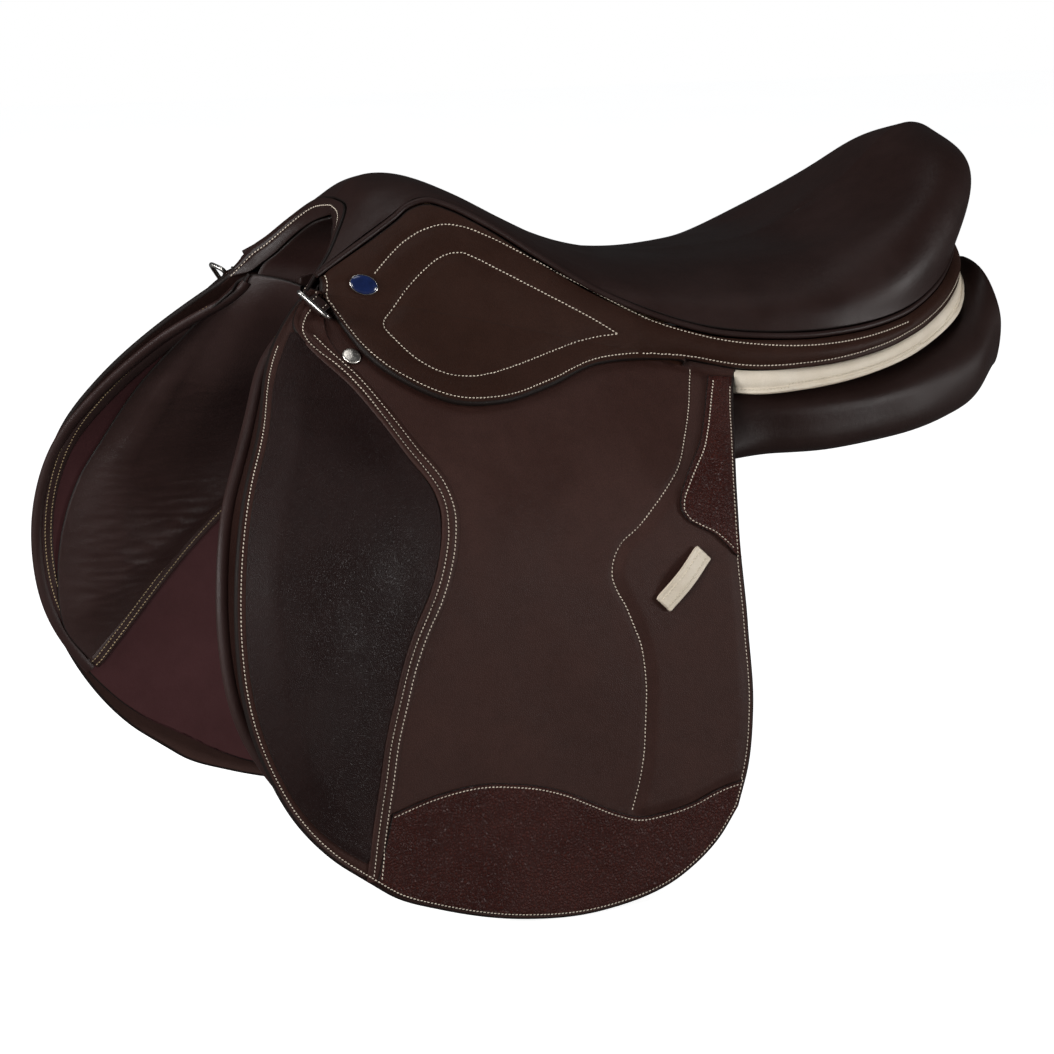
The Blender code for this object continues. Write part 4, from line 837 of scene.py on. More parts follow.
LINING = leather("lining_hide", (0.0480, 0.0165, 0.0175), (0.0600, 0.0215, 0.0230), 0.7, 0.03,
                 0.55, 0.12, crease=0.12)
FACING = leather("facing_hide", (0.0240, 0.0105, 0.0090), (0.0315, 0.0142, 0.0124), 0.8, 0.05,
                 0.40, 0.28, crease=0.2)
PANEL = leather("panel_hide", (0.0175, 0.0088, 0.0075), (0.0225, 0.0115, 0.0099), 0.6, 0.03,
                0.36, 0.17, crease=0.12)
CREAM_THREAD = thread("cream_thread", (0.74, 0.64, 0.52))
PALE_THREAD = thread("pale_thread", (0.74, 0.66, 0.52))
GOLD_THREAD = thread("gold_thread", (0.42, 0.31, 0.17))
# Painted shade: the dark colour of the discs that stand for the billets' punched holes
HOLE_SHADE = thread("dark_thread", (0.030, 0.020, 0.016))
NICKEL = metal("nickel", (0.62, 0.60, 0.57), 0.22)
BRUSHED = metal("brushed_nickel", (0.78, 0.74, 0.68), 0.32, brushed=0.003)
STEEL = metal("bar_steel", (0.52, 0.52, 0.53), 0.36)
WEB = cloth("web_weave", (0.56, 0.52, 0.44), 1.6)
ENAMEL = enamel("blue_enamel", (0.0045, 0.0115, 0.055), (0.0065, 0.0165, 0.080))
WOOD = timber("tree_beech", (0.24, 0.14, 0.07), (0.42, 0.28, 0.155))


def facing_pair(name, mesh, finish=FACING, replaces=()):
    """A pair that hangs with the near sweat flap."""
    pair(name, mesh, finish, "saddle", replaces, hang=SWEAT_HANG)


# The seat

def seat_surface(columns, rows):
    rings = np.stack([smooth(section, rows, even=False) for section in SEAT_SECTIONS])
    return near(smooth(rings, columns, even=False))


def welt_line():
    """The middle of the piping, from the frame's own coarse seat."""
    fine = seat_surface(121, 61)
    normals = grid_normals(fine)
    normals[:, 0, 1] = 0.0
    normals = unit(normals)
    i = np.rint(np.linspace(0, 120, 27)).astype(int)
    edge, before = fine[i, 60], fine[i, np.rint(np.linspace(0, 60, 12)).astype(int)[-2]]
    lead = np.clip(1.0 - np.arange(27) / 4.0, 0.0, 1.0)[:, None] * WELT_LEAD
    return (edge + unit(edge - before) * (WELT_RADIUS + WELT_GAP + lead)
            - normals[i, 60] * WELT_RADIUS * 0.3)


def build_seat():
    half = seat_surface(241, 97)
    spare = 1.0 - step_up(0.72, 1.0, np.linspace(0, 1, 97))[None, :, None]
    for _ in range(40):
        half[1:-1] += 0.25 * spare * (half[:-2] + half[2:] - 2 * half[1:-1])
        half[:, 1:-1] += 0.25 * spare[:, 1:-1] * (half[:, :-2] + half[:, 2:] - 2 * half[:, 1:-1])
    full = np.concatenate([half[:, :0:-1] * (1.0, -1.0, 1.0), half], 1)
    normal = grid_normals(full)
    normal[:, 96, 1] = 0.0
    normal[-1, :, 1] = 0.0
    place("seat_hide_cover", hide(full, SEAT_LEATHER, unit(normal), bulge=0.8, seam=True), SEAT,
          "saddle", ["seat_cover", "seat_foam", "seat_webbing"])
    welt = welt_line()
    welt[-1, 1] = 0.0
    line = both_halves(smooth(welt, 27 * 8, even=False))
    place("seat_piping", tube(line, WELT_RADIUS * 1.05), SEAT, "saddle",
          ["seat_welt"])


# The skirt: one surface from the piping over the bend line to the free edge

SKIRT_COLUMNS = 27 * 12
FIXED_ROWS = 26
LOBE_ROWS = 24
LOBE_REAR = -6.0


def skirt_lines():
    welt = welt_line()
    fixed_foot = on_drape(on_bend(np.linspace(-236.0, LOBE_REAR, 8)), SKIRT_FACE)
    waist_foot = on_drape([(10, 44.4), (28, 41.5)], SKIRT_FACE)
    run = length_along(welt)
    foot = smooth(np.concatenate([fixed_foot, waist_foot, near(TAIL_FOOT)]), 27,
                  shares=run / run[-1])
    tangent = unit(np.gradient(welt, axis=0))
    fall = foot - welt
    fall -= tangent * (fall * tangent).sum(1, keepdims=True)
    top = welt + unit(fall) * (WELT_RADIUS + TOUCH)
    top[-1, 1] = foot[-1, 1]
    outward = np.cross(unit(fall), tangent)
    return [smooth(a, SKIRT_COLUMNS, even=False) for a in (top, foot, outward)]


def skirt_surface():
    """The whole skirt to where its lobe ends, its fixed part, and where the lobe ends."""
    top, foot, outward = skirt_lines()
    t = np.linspace(0.0, 1.0, FIXED_ROWS)[None, :, None]
    fixed = top[:, None] * (1 - t) + foot[:, None] * t
    fixed = fixed + outward[:, None] * np.sin(np.pi * t) * SKIRT_BULGE
    last = int(np.argmax(foot[:, 0] / MM > LOBE_REAR))
    x = foot[:last, 0] / MM
    free = smooth(LOBE_FOOT, last, shares=np.clip((x - x[0]) / (LOBE_REAR - x[0]), 0.0, 1.0))
    v = np.linspace(0.0, 1.0, LOBE_ROWS)[None, :, None]
    lobe = on_drape(on_bend(x)[:, None] * (1 - v) + free[:, None] * v, SKIRT_FACE)
    whole = np.concatenate([fixed[:last], lobe[:, 1:]], 1)
    low, high = FIXED_ROWS - 9, FIXED_ROWS + 8
    n = grid_normals(whole)[:, low:high]
    for _ in range(60):
        pull = whole[:, low - 1:high - 1] + whole[:, low + 1:high + 1] - 2 * whole[:, low:high]
        whole[:, low:high] += 0.25 * n * (pull * n).sum(-1, keepdims=True)
    return whole, fixed, last


def skirt_border(whole, fixed, last):
    """The row of points SKIRT_ROW inside the skirt's front, lower and tail edges."""
    row = SKIRT_ROW * MM

    def inset(points):
        run = length_along(points)
        return np.array([np.interp(row, run, points[:, k]) for k in range(3)])

    front = [inset(whole[:, r]) for r in range(2, whole.shape[1] - 4)]
    start = int(np.argmax(np.linalg.norm(whole[:, -1] - whole[0, -1], axis=1) > row))
    low = [inset(whole[i, ::-1]) for i in range(start + 1, len(whole) - 1)]
    tail = [inset(fixed[i, ::-1]) for i in range(last + 1, len(fixed) - 3)]
    border = np.array(front + low + tail)
    relax(border, 0.5, 12)
    return border


def runs(chosen):
    """Index arrays of each unbroken run of True."""
    edges = np.flatnonzero(np.diff(np.concatenate([[0], chosen.astype(int), [0]])))
    return [np.arange(s, e) for s, e in zip(edges[::2], edges[1::2]) if e - s > 6]


def build_skirt():
    whole, fixed, last = skirt_surface()
    border = skirt_border(whole, fixed, last)
    upper, front = smooth(UPPER_ROW, 160), smooth(TEARDROP, 160)
    drop = np.concatenate([front, TEARDROP_TOP[1:]])

    def relief(surface):
        plan = surface[..., (0, 2)] / MM
        upper_gap, border_gap = away(plan, upper), away(plan, border[:, (0, 2)] / MM)
        ring = np.minimum(away(plan, front), away(plan, TEARDROP_TOP))
        sign = np.where(inside(plan, drop), 1.0, -1.0)
        h = 1.5 * step_up(0.0, 9.0, ring * sign) - 0.75 * bell(ring, 0.9)
        h -= 0.65 * bell(upper_gap, 0.9) + 0.60 * bell(border_gap, 0.9)
        h += 0.5 * step_up(0.5, 6.0, upper_gap) * step_up(0.5, 6.0, border_gap) * (sign < 0)
        return h * MM

    # Above the bend line the skirt is fixed, and its tail runs on to the cantle
    normal = grid_normals(whole)
    a = FIXED_ROWS - 1
    above, normals = fixed.copy(), grid_normals(fixed)
    above[:last] = whole[:, :a + 1]
    normals[:last] = normal[:, :a + 1]
    meshes = [hide(above, SKIRT_LEATHER, normals, bulge=0.9, arcs=5, lift=relief(above),
                   cut=lambda i, j: (j == a) & (i < last - 1) & (i > 0)),
              hide(whole[:, a:], SKIRT_LEATHER, normal[:, a:], bulge=0.9, arcs=5,
                   lift=relief(whole)[:, a:], cut=lambda i, j: (j == 0) & (i > 0) & (i < last - 1))]
    pair("skirt_flap", meshes[0], SKIRT, "saddle", ["skirt"])
    pair("skirt_free_lobe", meshes[1], SKIRT, "skirt_lobe_SIDE", ["skirt_lobe"])
    tree = tree_of(*meshes)
    rows = [set_down(tree, border)] + [on_face(tree, line)
                                       for line in (UPPER_ROW, TEARDROP, TEARDROP_TOP)]
    for name, body, fixed_part in (("skirt_stitching", "saddle", True),
                                   ("lobe_stitching", "skirt_lobe_SIDE", False)):
        parts = [(path[run], ways[run]) for path, ways in rows for run in
                 runs((path[:, 2] / MM > bend_height(path[:, 0] / MM)) == fixed_part)]
        pair(name, stitches(parts), CREAM_THREAD, body)
    return tree_of(meshes[0])


# The flap and what is sewn to it

FLAP_OUTLINE = np.concatenate([smooth(FLAP_FRONT, 120), smooth(FLAP_BOTTOM, 120)[1:],
                               smooth(FLAP_REAR, 90)[::-1][1:], smooth(FLAP_TOP, 60)[::-1][1:]])
FREE_OUTLINE = FLAP_OUTLINE[:-40]
QUILT_LINE = smooth(QUILT, 200)
QUILT_ZONE = np.concatenate([QUILT_LINE, [(40, -260), (60, 60)]])
PATCH_LINE = smooth(LOWER_PATCH_TOP, 120)


def flap_relief(plan):
    """Rise of the flap's outer face, in metres; the quilted part ends at the patch."""
    edge = away(plan, FREE_OUTLINE)
    quilt = away(plan, QUILT_LINE)
    rear = np.where(inside(plan, QUILT_ZONE), 1.0, -1.0)
    above = plan[..., 1] - np.interp(plan[..., 0], PATCH_LINE[:, 0], PATCH_LINE[:, 1])
    h = 1.9 * step_up(0.0, 8.0, quilt * rear) * step_up(2.0, 12.0, edge) * step_up(-1.0, 7.0, above)
    h -= 0.75 * bell(quilt, 0.95) * step_up(-1.0, 3.0, above)
    h -= 0.45 * (1 - step_up(2.9, 5.6, edge)) + 0.45 * bell(edge - FLAP_ROW, 0.8)
    h += 0.25 * ripple(plan, 3, 70.0) * step_up(6, 40, edge) * (rear < 0)
    return h * MM


def build_flap():
    """The flap with its fixed upper edge, which runs on under the skirt."""
    plan = patch(FLAP_FRONT, FLAP_REAR, FLAP_TOP, FLAP_BOTTOM, 190, 205)
    face = on_drape(plan)
    x = plan[:, 0, 0]
    held = (step_up(-222, -213, x) * (1 - step_up(-12, 0, x)))[:, None]
    foot = on_drape(on_bend(x), -SKIRT_GAP) + (0.0, 0.0, MARGIN_LEATHER + BEND_GAP)
    top_line = near(smooth(MARGIN_TOP, 200))
    tops = np.stack([np.interp(x * MM, top_line[:, 0], top_line[:, k]) for k in range(3)], -1)
    start = face[:, 0]
    foot = (start + (0.0, 0.0, 0.0012)) * (1 - held) + foot * held
    tops = (start + (0.0, 0.0, 0.0024)) * (1 - held) + tops * held
    extra = np.stack([tops * (1 - s) + foot * s for s in np.linspace(0, 1, 7)]
                     + [foot * 0.5 + start * 0.5], 1)
    whole = np.concatenate([extra, face], 1)
    for r in range(5, 11):
        whole[:, r] = 0.5 * whole[:, r] + 0.25 * (whole[:, r - 1] + whole[:, r + 1])
    normal = grid_normals(whole)
    normal[:, 9:] = drape_normal(plan)[:, 1:]
    lift = np.concatenate([np.zeros((len(plan), 8)), flap_relief(plan)], 1)
    deep = np.full(whole.shape[:2], FLAP_LEATHER)
    deep[:, :8] = MARGIN_LEATHER
    deep[:, 8:14] = np.linspace(MARGIN_LEATHER, FLAP_LEATHER, 6)
    mesh = hide(whole, deep, normal, bulge=0.8, arcs=5, lift=lift, clear=14, lined=True)
    # Two points across the middle of the bend line, on the skirt's outer face, are given as bend;
    # place only bakes the piece's transform when bend is given
    ends = on_drape([BEND_FRONT[::2], BEND_REAR[::2]], SKIRT_FACE)
    axis = unit(ends[1] - ends[0])
    down = unit(np.array((0.0, 0.0, -1.0)) + axis * axis[2])
    middle = ends.mean(0)
    pair("flap_hide", mesh, [FLAP, FLESH], "flap_SIDE", ["flap", "flap_margin"],
         bend=[middle - down * 0.003, middle + down * 0.009], hang=FLAP_HANG)
    return mesh


def build_knee_pad():
    """The pad: steep behind its front edge, falling away to the band."""
    plan = band(KNEE_PAD_FRONT, KNEE_PAD_REAR, 190, 60)[:, ::-1]
    z = plan[..., 1]
    front = away(plan, smooth(KNEE_PAD_FRONT, 140))
    rear = away(plan, smooth(KNEE_PAD_REAR, 140))
    full = 7.4 * step_up(-233, -150, z) * (1 - 0.45 * step_up(0, 76, z))
    full += 0.8 * step_up(-233, -205, z)
    rise = full * step_up(-2.0, 21.0, front) ** 0.85 * step_up(-1.0, 62.0, rear) ** 0.8
    rise += 0.5 + 0.7 * step_up(-236, -200, z) - 0.5 * bell(front - 0.5, 1.2)
    rise += 0.35 * ripple(plan, 11, 46.0) * step_up(4, 22, front) * step_up(4, 22, rear)
    rise *= MM
    mesh = hide(on_drape(plan, LAYER_GAP + rise), rise * 0.96, drape_normal(plan), bulge=0.8)
    pair("knee_pad_hide", mesh, PAD, "flap_SIDE", ["knee_pad"],
         hang=FLAP_HANG)
    return mesh


def build_knee_band():
    mesh = drape_sweep(smooth(smooth(KNEE_WELT, 220), 320), KNEE_BAND, foot=46)
    pair("knee_band", mesh, FLAP, "flap_SIDE", hang=FLAP_HANG)
    return mesh


def build_tab():
    plan = band(TAB_FRONT, TAB_REAR, 90, 36)[:, ::-1]
    front = away(plan, smooth(TAB_FRONT, 120))
    ends = away(plan, [TAB_FRONT[0], TAB_REAR[0]])
    rise = 2.5 - 1.5 * step_up(5.0, 12.0, front) - 0.55 * bell(front - 4.2, 0.9)
    rise = (rise - 0.5 * step_up(10.0, 0.0, ends)) * MM
    mesh = hide(on_drape(plan, rise), rise + 0.0012, drape_normal(plan), arcs=5)
    pair("flap_tab", mesh, FLAP, "flap_SIDE", hang=FLAP_HANG)
    return mesh


def build_patches():
    meshes = []
    for name, plan, first in (
            ("lower_patch", band(LOWER_PATCH_TOP, LOWER_PATCH_FOOT, 150, 44), LOWER_PATCH_TOP),
            ("rear_patch", band(REAR_PATCH_FRONT, REAR_PATCH_REAR, 90, 36)[:, ::-1],
             REAR_PATCH_FRONT)):
        edge, far = away(plan, smooth(first, 160)), away(plan, FREE_OUTLINE)
        lift = bell(edge - 0.6, 0.8) - bell(edge - 2.4, 0.8) - bell(far - FLAP_ROW, 0.8)
        outer = on_drape(plan, 0.0003 + PATCH_LEATHER + np.maximum(flap_relief(plan), -0.0002))
        mesh = hide(outer, PATCH_LEATHER, drape_normal(plan), bulge=0.8, lift=lift * 0.45 * MM)
        pair(name + "_hide", mesh, PATCH, "flap_SIDE", [name])
        meshes.append(mesh)
    return meshes


def build_flap_stitching(*meshes):
    tree = tree_of(*meshes)
    edge = np.concatenate([smooth(FLAP_FRONT, 400), smooth(FLAP_BOTTOM, 400)[1:],
                           smooth(FLAP_REAR, 300)[::-1][1:]])
    edge = offset_line(edge, FLAP_ROW)
    relax(edge, 0.5, 30)
    edge = edge[away(edge, FREE_OUTLINE) > 3.3][8:-6]
    line = smooth(smooth(KNEE_WELT, 220), 500)
    widen = step_up(10, 60, line[:, 1])[:, None]
    first = offset_line(line, 3.0 + 1.9 * widen)
    second = offset_line(line, 8.0 + 0.9 * widen)
    turn = np.concatenate([TAB_ROW, first[first[:, 1] < 60.0][::25], first[-3:-2]])
    lines = [edge[edge[:, 1] < 71.0], smooth(turn, 700)[:-3], second[4:-2],
             smooth(offset_line(PATCH_LINE, -2.3)[:-2], 500),
             offset_line(smooth(REAR_PATCH_FRONT, 200), 2.4)[:-6]]
    rows = [on_face(tree, QUILT)] + [on_face(tree, drawn, even=False) for drawn in lines]
    pair("flap_stitching", stitches(rows), CREAM_THREAD, "flap_SIDE",
         hang=FLAP_HANG)


def drape_frame(x, z, lean_degrees):
    """A point on the flap, with ways along it at a lean, across it and out of it."""
    plan = np.array([(x, z)], float)
    out = Vector(drape_normal(plan)[0])
    lean = math.radians(lean_degrees)
    along = Vector((math.cos(lean), 0.0, math.sin(lean)))
    along = (along - out * along.dot(out)).normalized()
    return Vector(on_drape(plan)[0]), along, out.cross(along).normalized(), out


def build_keeper():
    """The pale strap: sewn flat at both ends, standing a little off between them."""
    point, along, across, out = drape_frame(-43, -76.5, 46)
    base = float(flap_relief(np.array([(-43.0, -76.5)]))[0]) + 0.0003
    length, width, thick = 0.0430, 0.0135, 0.0022
    rows = []
    for s in np.linspace(-0.5, 0.5, 60):
        rise = base + thick + 0.0026 * max(math.cos(s * 1.25 * math.pi), 0.0)
        wide = width * (1.0 - 0.10 * max(0.0, (abs(s) - 0.45) / 0.05) ** 2)
        rows.append([point + along * (s * length) + across * (wide * v) + out * (
            rise + 0.35 * (math.cos(v * math.pi) - bell(abs(v) - 0.30, 0.035)) * MM)
            for v in np.linspace(0.5, -0.5, 26)])
    mesh = hide(np.array(rows), thick, bulge=0.9)
    pair("keeper_strap", mesh, CREAM, "flap_SIDE", ["keeper"])
    tree = tree_of(mesh)
    parts = [set_down(tree, [point + along * (s * length) + across * (width * v) + out * 0.012
                             for s in np.linspace(-0.46, 0.46, 60)]) for v in (0.30, -0.30)]
    pair("keeper_stitching", stitches(parts, lift=0.2), PALE_THREAD, "flap_SIDE")


def stand(name, mesh, finish, body, slot, point, out, spin=0.0, replaces=()):
    """A small turned piece on the left, and its mirror image, each with its own origin."""
    turn = Vector((0.0, 0.0, 1.0)).rotation_difference(out).to_matrix()
    turn = turn @ Matrix.Rotation(spin, 3, "Z")
    for side, sign in (("left", 1.0), ("right", -1.0)):
        made = bpy.data.objects.new(f"{name}_{side}", mesh.copy())
        show(made, [finish], [f"{r}_{side}" for r in replaces])
        flat = Matrix.Diagonal((1.0, sign, 1.0))
        made.matrix_world = Matrix.Translation(flat @ point) @ (flat @ turn @ flat).to_4x4()
        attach(made, body.replace("SIDE", side))


def build_nail():
    point, _, _, out = drape_frame(-227.5, 62, 0)
    mesh = turned([(0.05, 2.35), (0.5, 2.3), (2.0, 2.15), (3.5, 1.92), (4.9, 1.62), (5.5, 1.4),
                   (5.85, 1.05), (6.0, 0.6), (6.0, 0.0)])
    stand("nail_head", mesh, BRUSHED, "flap_SIDE", "steel", point + out * 0.0007, out,
          replaces=["flap_nail"])


def build_button(skirt_tree):
    hits, normals = cast(skirt_tree, [(-0.209, -0.4, 0.103)], (0, 1, 0))
    seat = (Vector(hits[0]), Vector(normals[0]), math.radians(-20))
    dome = turned([(0.05, 2.75), (2.0, 2.72), (4.2, 2.58), (6.4, 2.25), (7.9, 1.8), (8.6, 1.45),
                   (8.8, 1.1), (8.7, 0.3)], oval=0.67)
    stand("button_face", dome, ENAMEL, "saddle", "enamel", *seat, ["skirt_button"])
    rim = turned([(8.4, 1.0), (8.7, 1.32), (9.0, 1.36), (9.25, 1.15), (9.35, 0.7), (9.3, 0.2),
                  (8.6, 0.0)], oval=0.69)
    stand("button_rim", rim, NICKEL, "saddle", "steel", *seat)


def build_dee():
    """The ring for a breastplate, and the folded chape that holds it."""
    point, along, across, out = drape_frame(-241.5, 88.5, -62)
    wire, gap, chape = 0.0015, 0.0004, 0.0010
    base = point + out * (wire + gap + chape + LAYER_GAP + gap)
    forward = across if across.x < 0 else -across
    stand_out = math.radians(55)
    reach = forward * math.cos(stand_out) + out * math.sin(stand_out)

    def squared(value):
        return math.copysign(abs(value) ** 0.35, value) if abs(value) > 1e-9 else 0.0

    ring = np.array([base + along * (squared(math.cos(a)) * 0.012)
                     + reach * (0.006 * (1 + squared(math.sin(a))))
                     for a in (2 * math.pi * k / 96 for k in range(96))])
    for _ in range(2):
        ring = (np.roll(ring, 1, 0) + 2 * ring + np.roll(ring, -1, 0)) / 4
    mesh = tube(ring, wire, 14, closed=True, up=np.array(along.cross(reach)))
    pair("dee_ring", mesh, NICKEL, "dee_SIDE", ["dee"])
    room, half, back = wire + gap + chape, 0.0065, -0.0055
    turns = [math.pi / 2 - math.pi * k / 16 for k in range(17)]
    outline = [(back, room), *((math.cos(a) * room, math.sin(a) * room) for a in turns),
               (back, -room)]
    columns = []
    for side in np.linspace(-1, 1, 22):
        swell = 1.0 + 0.10 * math.cos(side * math.pi / 2)
        columns.append([base + forward * f * swell + out * o * swell + along * (half * side)
                        for f, o in outline])
    grid = np.array(columns)
    if (grid[11, 8] - np.array(base)) @ grid_normals(grid)[11, 8] < 0:
        grid = grid[::-1]
    mesh = hide(grid, chape, bulge=0.8, arcs=3)
    pair("dee_loop", mesh, SEAT, "flap_SIDE", ["dee_chape"])
    parts = [(np.array([base + forward * (-0.0052 + 0.0052 * t) + out * (room + 0.0002)
                        + along * (half * side) for t in np.linspace(0, 1, 12)]),
              np.repeat(np.array([out]), 12, 0)) for side in (-0.62, 0.62)]
    pair("dee_loop_stitching", stitches(parts, pitch=1.9, length=1.3, radius=0.28), CREAM_THREAD,
         "flap_SIDE")


# Between the flap and the panel

def build_sweat_flap():
    plan = patch(SWEAT_FRONT, SWEAT_REAR, SWEAT_TOP, SWEAT_BOTTOM, 110, 120)
    mesh = hide(on_drape(plan, -SWEAT_DEPTH), SWEAT_LEATHER, drape_normal(plan), bulge=0.8,
                lined=True)
    facing_pair("sweat_flap_hide", mesh, [FLAP, LINING], replaces=["sweat_flap"])
    line = np.concatenate([smooth(SWEAT_FRONT, 160), smooth(SWEAT_BOTTOM, 140)[1:],
                           smooth(SWEAT_REAR, 110)[::-1][1:]])
    relax(line, 0.5, 8)
    line = smooth(offset_line(line, SWEAT_INSET), 900)
    line = line[:int(np.argmax((line[:, 0] > -310.0) & (line[:, 1] < -180.0)))]
    binding = tube(on_drape(line, -SWEAT_DEPTH - SWEAT_LEATHER / 2), 0.0040, 16, squash=0.72,
                   up=drape_normal(line))
    facing_pair("sweat_binding", binding)
    strip = [(6.2, 0.2), (7.0, -0.55), (8.4, -0.75), (10.2, -0.95), (12.0, -0.75),
             (13.2, -0.55), (14.0, 0.2), (10.0, 0.6)]
    flat = drape_sweep(offset_line(line, -SWEAT_INSET), strip, base=-SWEAT_BACK)
    facing_pair("sweat_band", flat)
    tree = tree_of(flat, mesh)
    rows = [on_face(tree, smooth(offset_line(line, s - SWEAT_INSET), 500)[40:], inward=True,
                    even=False) for s in SWEAT_ROWS]
    facing_pair("sweat_stitching", stitches(rows), GOLD_THREAD)


def build_front_pad():
    """The padded facing, from the sweat flap's front edge round to the panel's inner side,
    with creases where it is drawn round the sweat flap."""
    columns, rows = 150, 190
    seam = smooth(FACING_SEAM, columns + 1)
    low = on_drape(seam, -SWEAT_BACK) / MM * (1, -1, 1)
    front, rear = np.array(FACING_FRONT, float), np.array(FACING_REAR, float)
    front[-1], rear[-1] = low[0], low[-1]
    base = near(fill_in(smooth(front, rows + 1), smooth(rear, rows + 1),
                        smooth(FACING_TOP, columns + 1), low))[:, ::-1]
    u = np.broadcast_to(np.linspace(0.0, 1.0, columns + 1)[:, None], base.shape[:2])
    v = np.broadcast_to(np.linspace(1.0, 0.0, rows + 1)[None, :], base.shape[:2])
    full = step_up(-0.02, 0.30, u) ** 0.8 * step_up(-0.05, 0.45, 1 - u) ** 0.9
    full = full * step_up(-0.015, 0.10, v) ** 0.7 * step_up(-0.01, 0.13, 1 - v) ** 0.8
    plan = base[..., (0, 2)] / MM
    creases = ripple(plan * (0.35, 1.6), 21, 21.0) + 0.6 * ripple(plan * (0.5, 2.2), 22, 13.0)
    where = 0.25 + 0.95 * step_up(-20, -140, plan[..., 1])
    thick = 1.6 + (6.5 + 6.0 * step_up(0.1, 0.4, v)) * full
    thick = thick - np.abs(creases) ** 0.7 * full * where + 0.5 * ripple(plan, 23, 60.0) * full
    outer = base + grid_normals(base) * (thick * MM)[..., None]
    calm = step_up(0.34, 0.12, v) * step_up(0.0, 0.06, v) * step_up(0.0, 0.06, u)
    calm = (calm * step_up(0.0, 0.06, 1 - u))[1:-1, 1:-1, None]
    for _ in range(160):
        mean = (outer[:-2, 1:-1] + outer[2:, 1:-1] + outer[1:-1, :-2] + outer[1:-1, 2:]) / 4
        outer[1:-1, 1:-1] += calm * (mean - outer[1:-1, 1:-1])
    way = outer - base
    mesh = hide(outer, np.linalg.norm(way, axis=-1), unit(way), bulge=0.6)
    facing_pair("front_pad_hide", mesh, replaces=["front_pad"])
    strip = [(-4.6, 0.3), (-4.2, -2.6), (-2.8, -3.6), (-1.2, -3.2), (0.0, -3.5), (1.2, -3.2),
             (2.8, -3.4), (4.2, -2.2), (5.0, -0.4), (4.8, 0.3)]
    mesh = drape_sweep(seam, strip, base=-SWEAT_BACK)
    facing_pair("facing_band", mesh)
    tree = tree_of(mesh)
    rows = [on_face(tree, offset_line(seam, s), inward=True, even=False) for s in (-2.0, 2.0)]
    facing_pair("facing_stitching", stitches(rows), GOLD_THREAD)


def build_pommel_rim():
    """The rolled rim round the arch, from the cover's front edge in to the lining."""
    edge, lining = (both_halves(near(smooth(line, 120))) for line in (POMMEL_EDGE, POMMEL_LINING))
    relax(edge, 0.5, 20)
    relax(lining, 0.5, 20)
    across = lining - edge
    ahead = unit(np.cross(unit(np.gradient(edge, axis=0)), across))
    ahead = ahead * np.where(ahead[:, :1] > 0, -1.0, 1.0)
    ahead = unit(ahead + (-0.25, 0.0, 0.0))
    t = np.linspace(0.0, 1.0, 22)
    rise = 3.0 * np.sin(np.pi * np.clip(t * 0.94 + 0.06, 0, 1)) ** 0.6 - 0.8 * bell(t - 0.42, 0.05)
    ends = np.arange(len(edge))
    ends = step_up(-6.0, 26.0, np.minimum(ends, ends[::-1]))[:, None]
    face = (edge[:, None] + across[:, None] * ((0.3 + 0.7 * ends) * t)[..., None]
            + ahead[:, None] * (rise * ends * MM)[..., None])
    if grid_normals(face)[120, 10, 0] > 0:
        face = face[:, ::-1]
    mesh = hide(face, 0.0030, bulge=0.9, arcs=5)
    place("pommel_rim", mesh, SEAT, "saddle")
    row = (edge + across * 0.42 + ahead * 0.006)[3:-3]
    place("pommel_stitching", stitches([cast(tree_of(mesh), row, -ahead[3:-3])]), CREAM_THREAD,
          "saddle")


def build_knee_block():
    plan = band(KNEE_BLOCK_FRONT, KNEE_BLOCK_REAR, 80, 30)[:, ::-1]
    full = step_up(-1.0, 11.0, away(plan, smooth(KNEE_BLOCK_FRONT, 100)))
    full = full * step_up(-1.0, 13.0, away(plan, smooth(KNEE_BLOCK_REAR, 100)))
    thick = (3.4 + 3.0 * full) * MM
    mesh = hide(on_drape(plan, -SWEAT_DEPTH + LAYER_GAP + thick), thick, drape_normal(plan),
                bulge=0.5)
    pair("knee_block_hide", mesh, FACING, "saddle", ["knee_block"],
         hang=SWEAT_HANG)


def punched(tree, x, heights):
    """Holes drawn as discs with a pressed rim, at heights down a strap; the discs' dark colour is
    painted shade of the holes.
    """
    angles = [2 * math.pi * q / 16 for q in range(16)]
    points, faces = [], []
    for z in heights:
        hits, normals = on_face(tree, [(x, z), (x, z - 0.5), (x, z - 1)])
        p, n = Vector(hits[0]), Vector(normals[0])
        side = n.cross(Vector((0, 0, 1))).normalized()
        top = side.cross(n)
        faces += loft(4, len(angles), len(points))
        points += [p + (side * math.cos(a) + top * math.sin(a)) * r * MM + n * lift * MM
                   for r, lift in ((2.3, 0.05), (2.1, 0.35), (1.7, 0.3), (1.5, 0.02))
                   for a in angles]
    return make_mesh(points, faces)


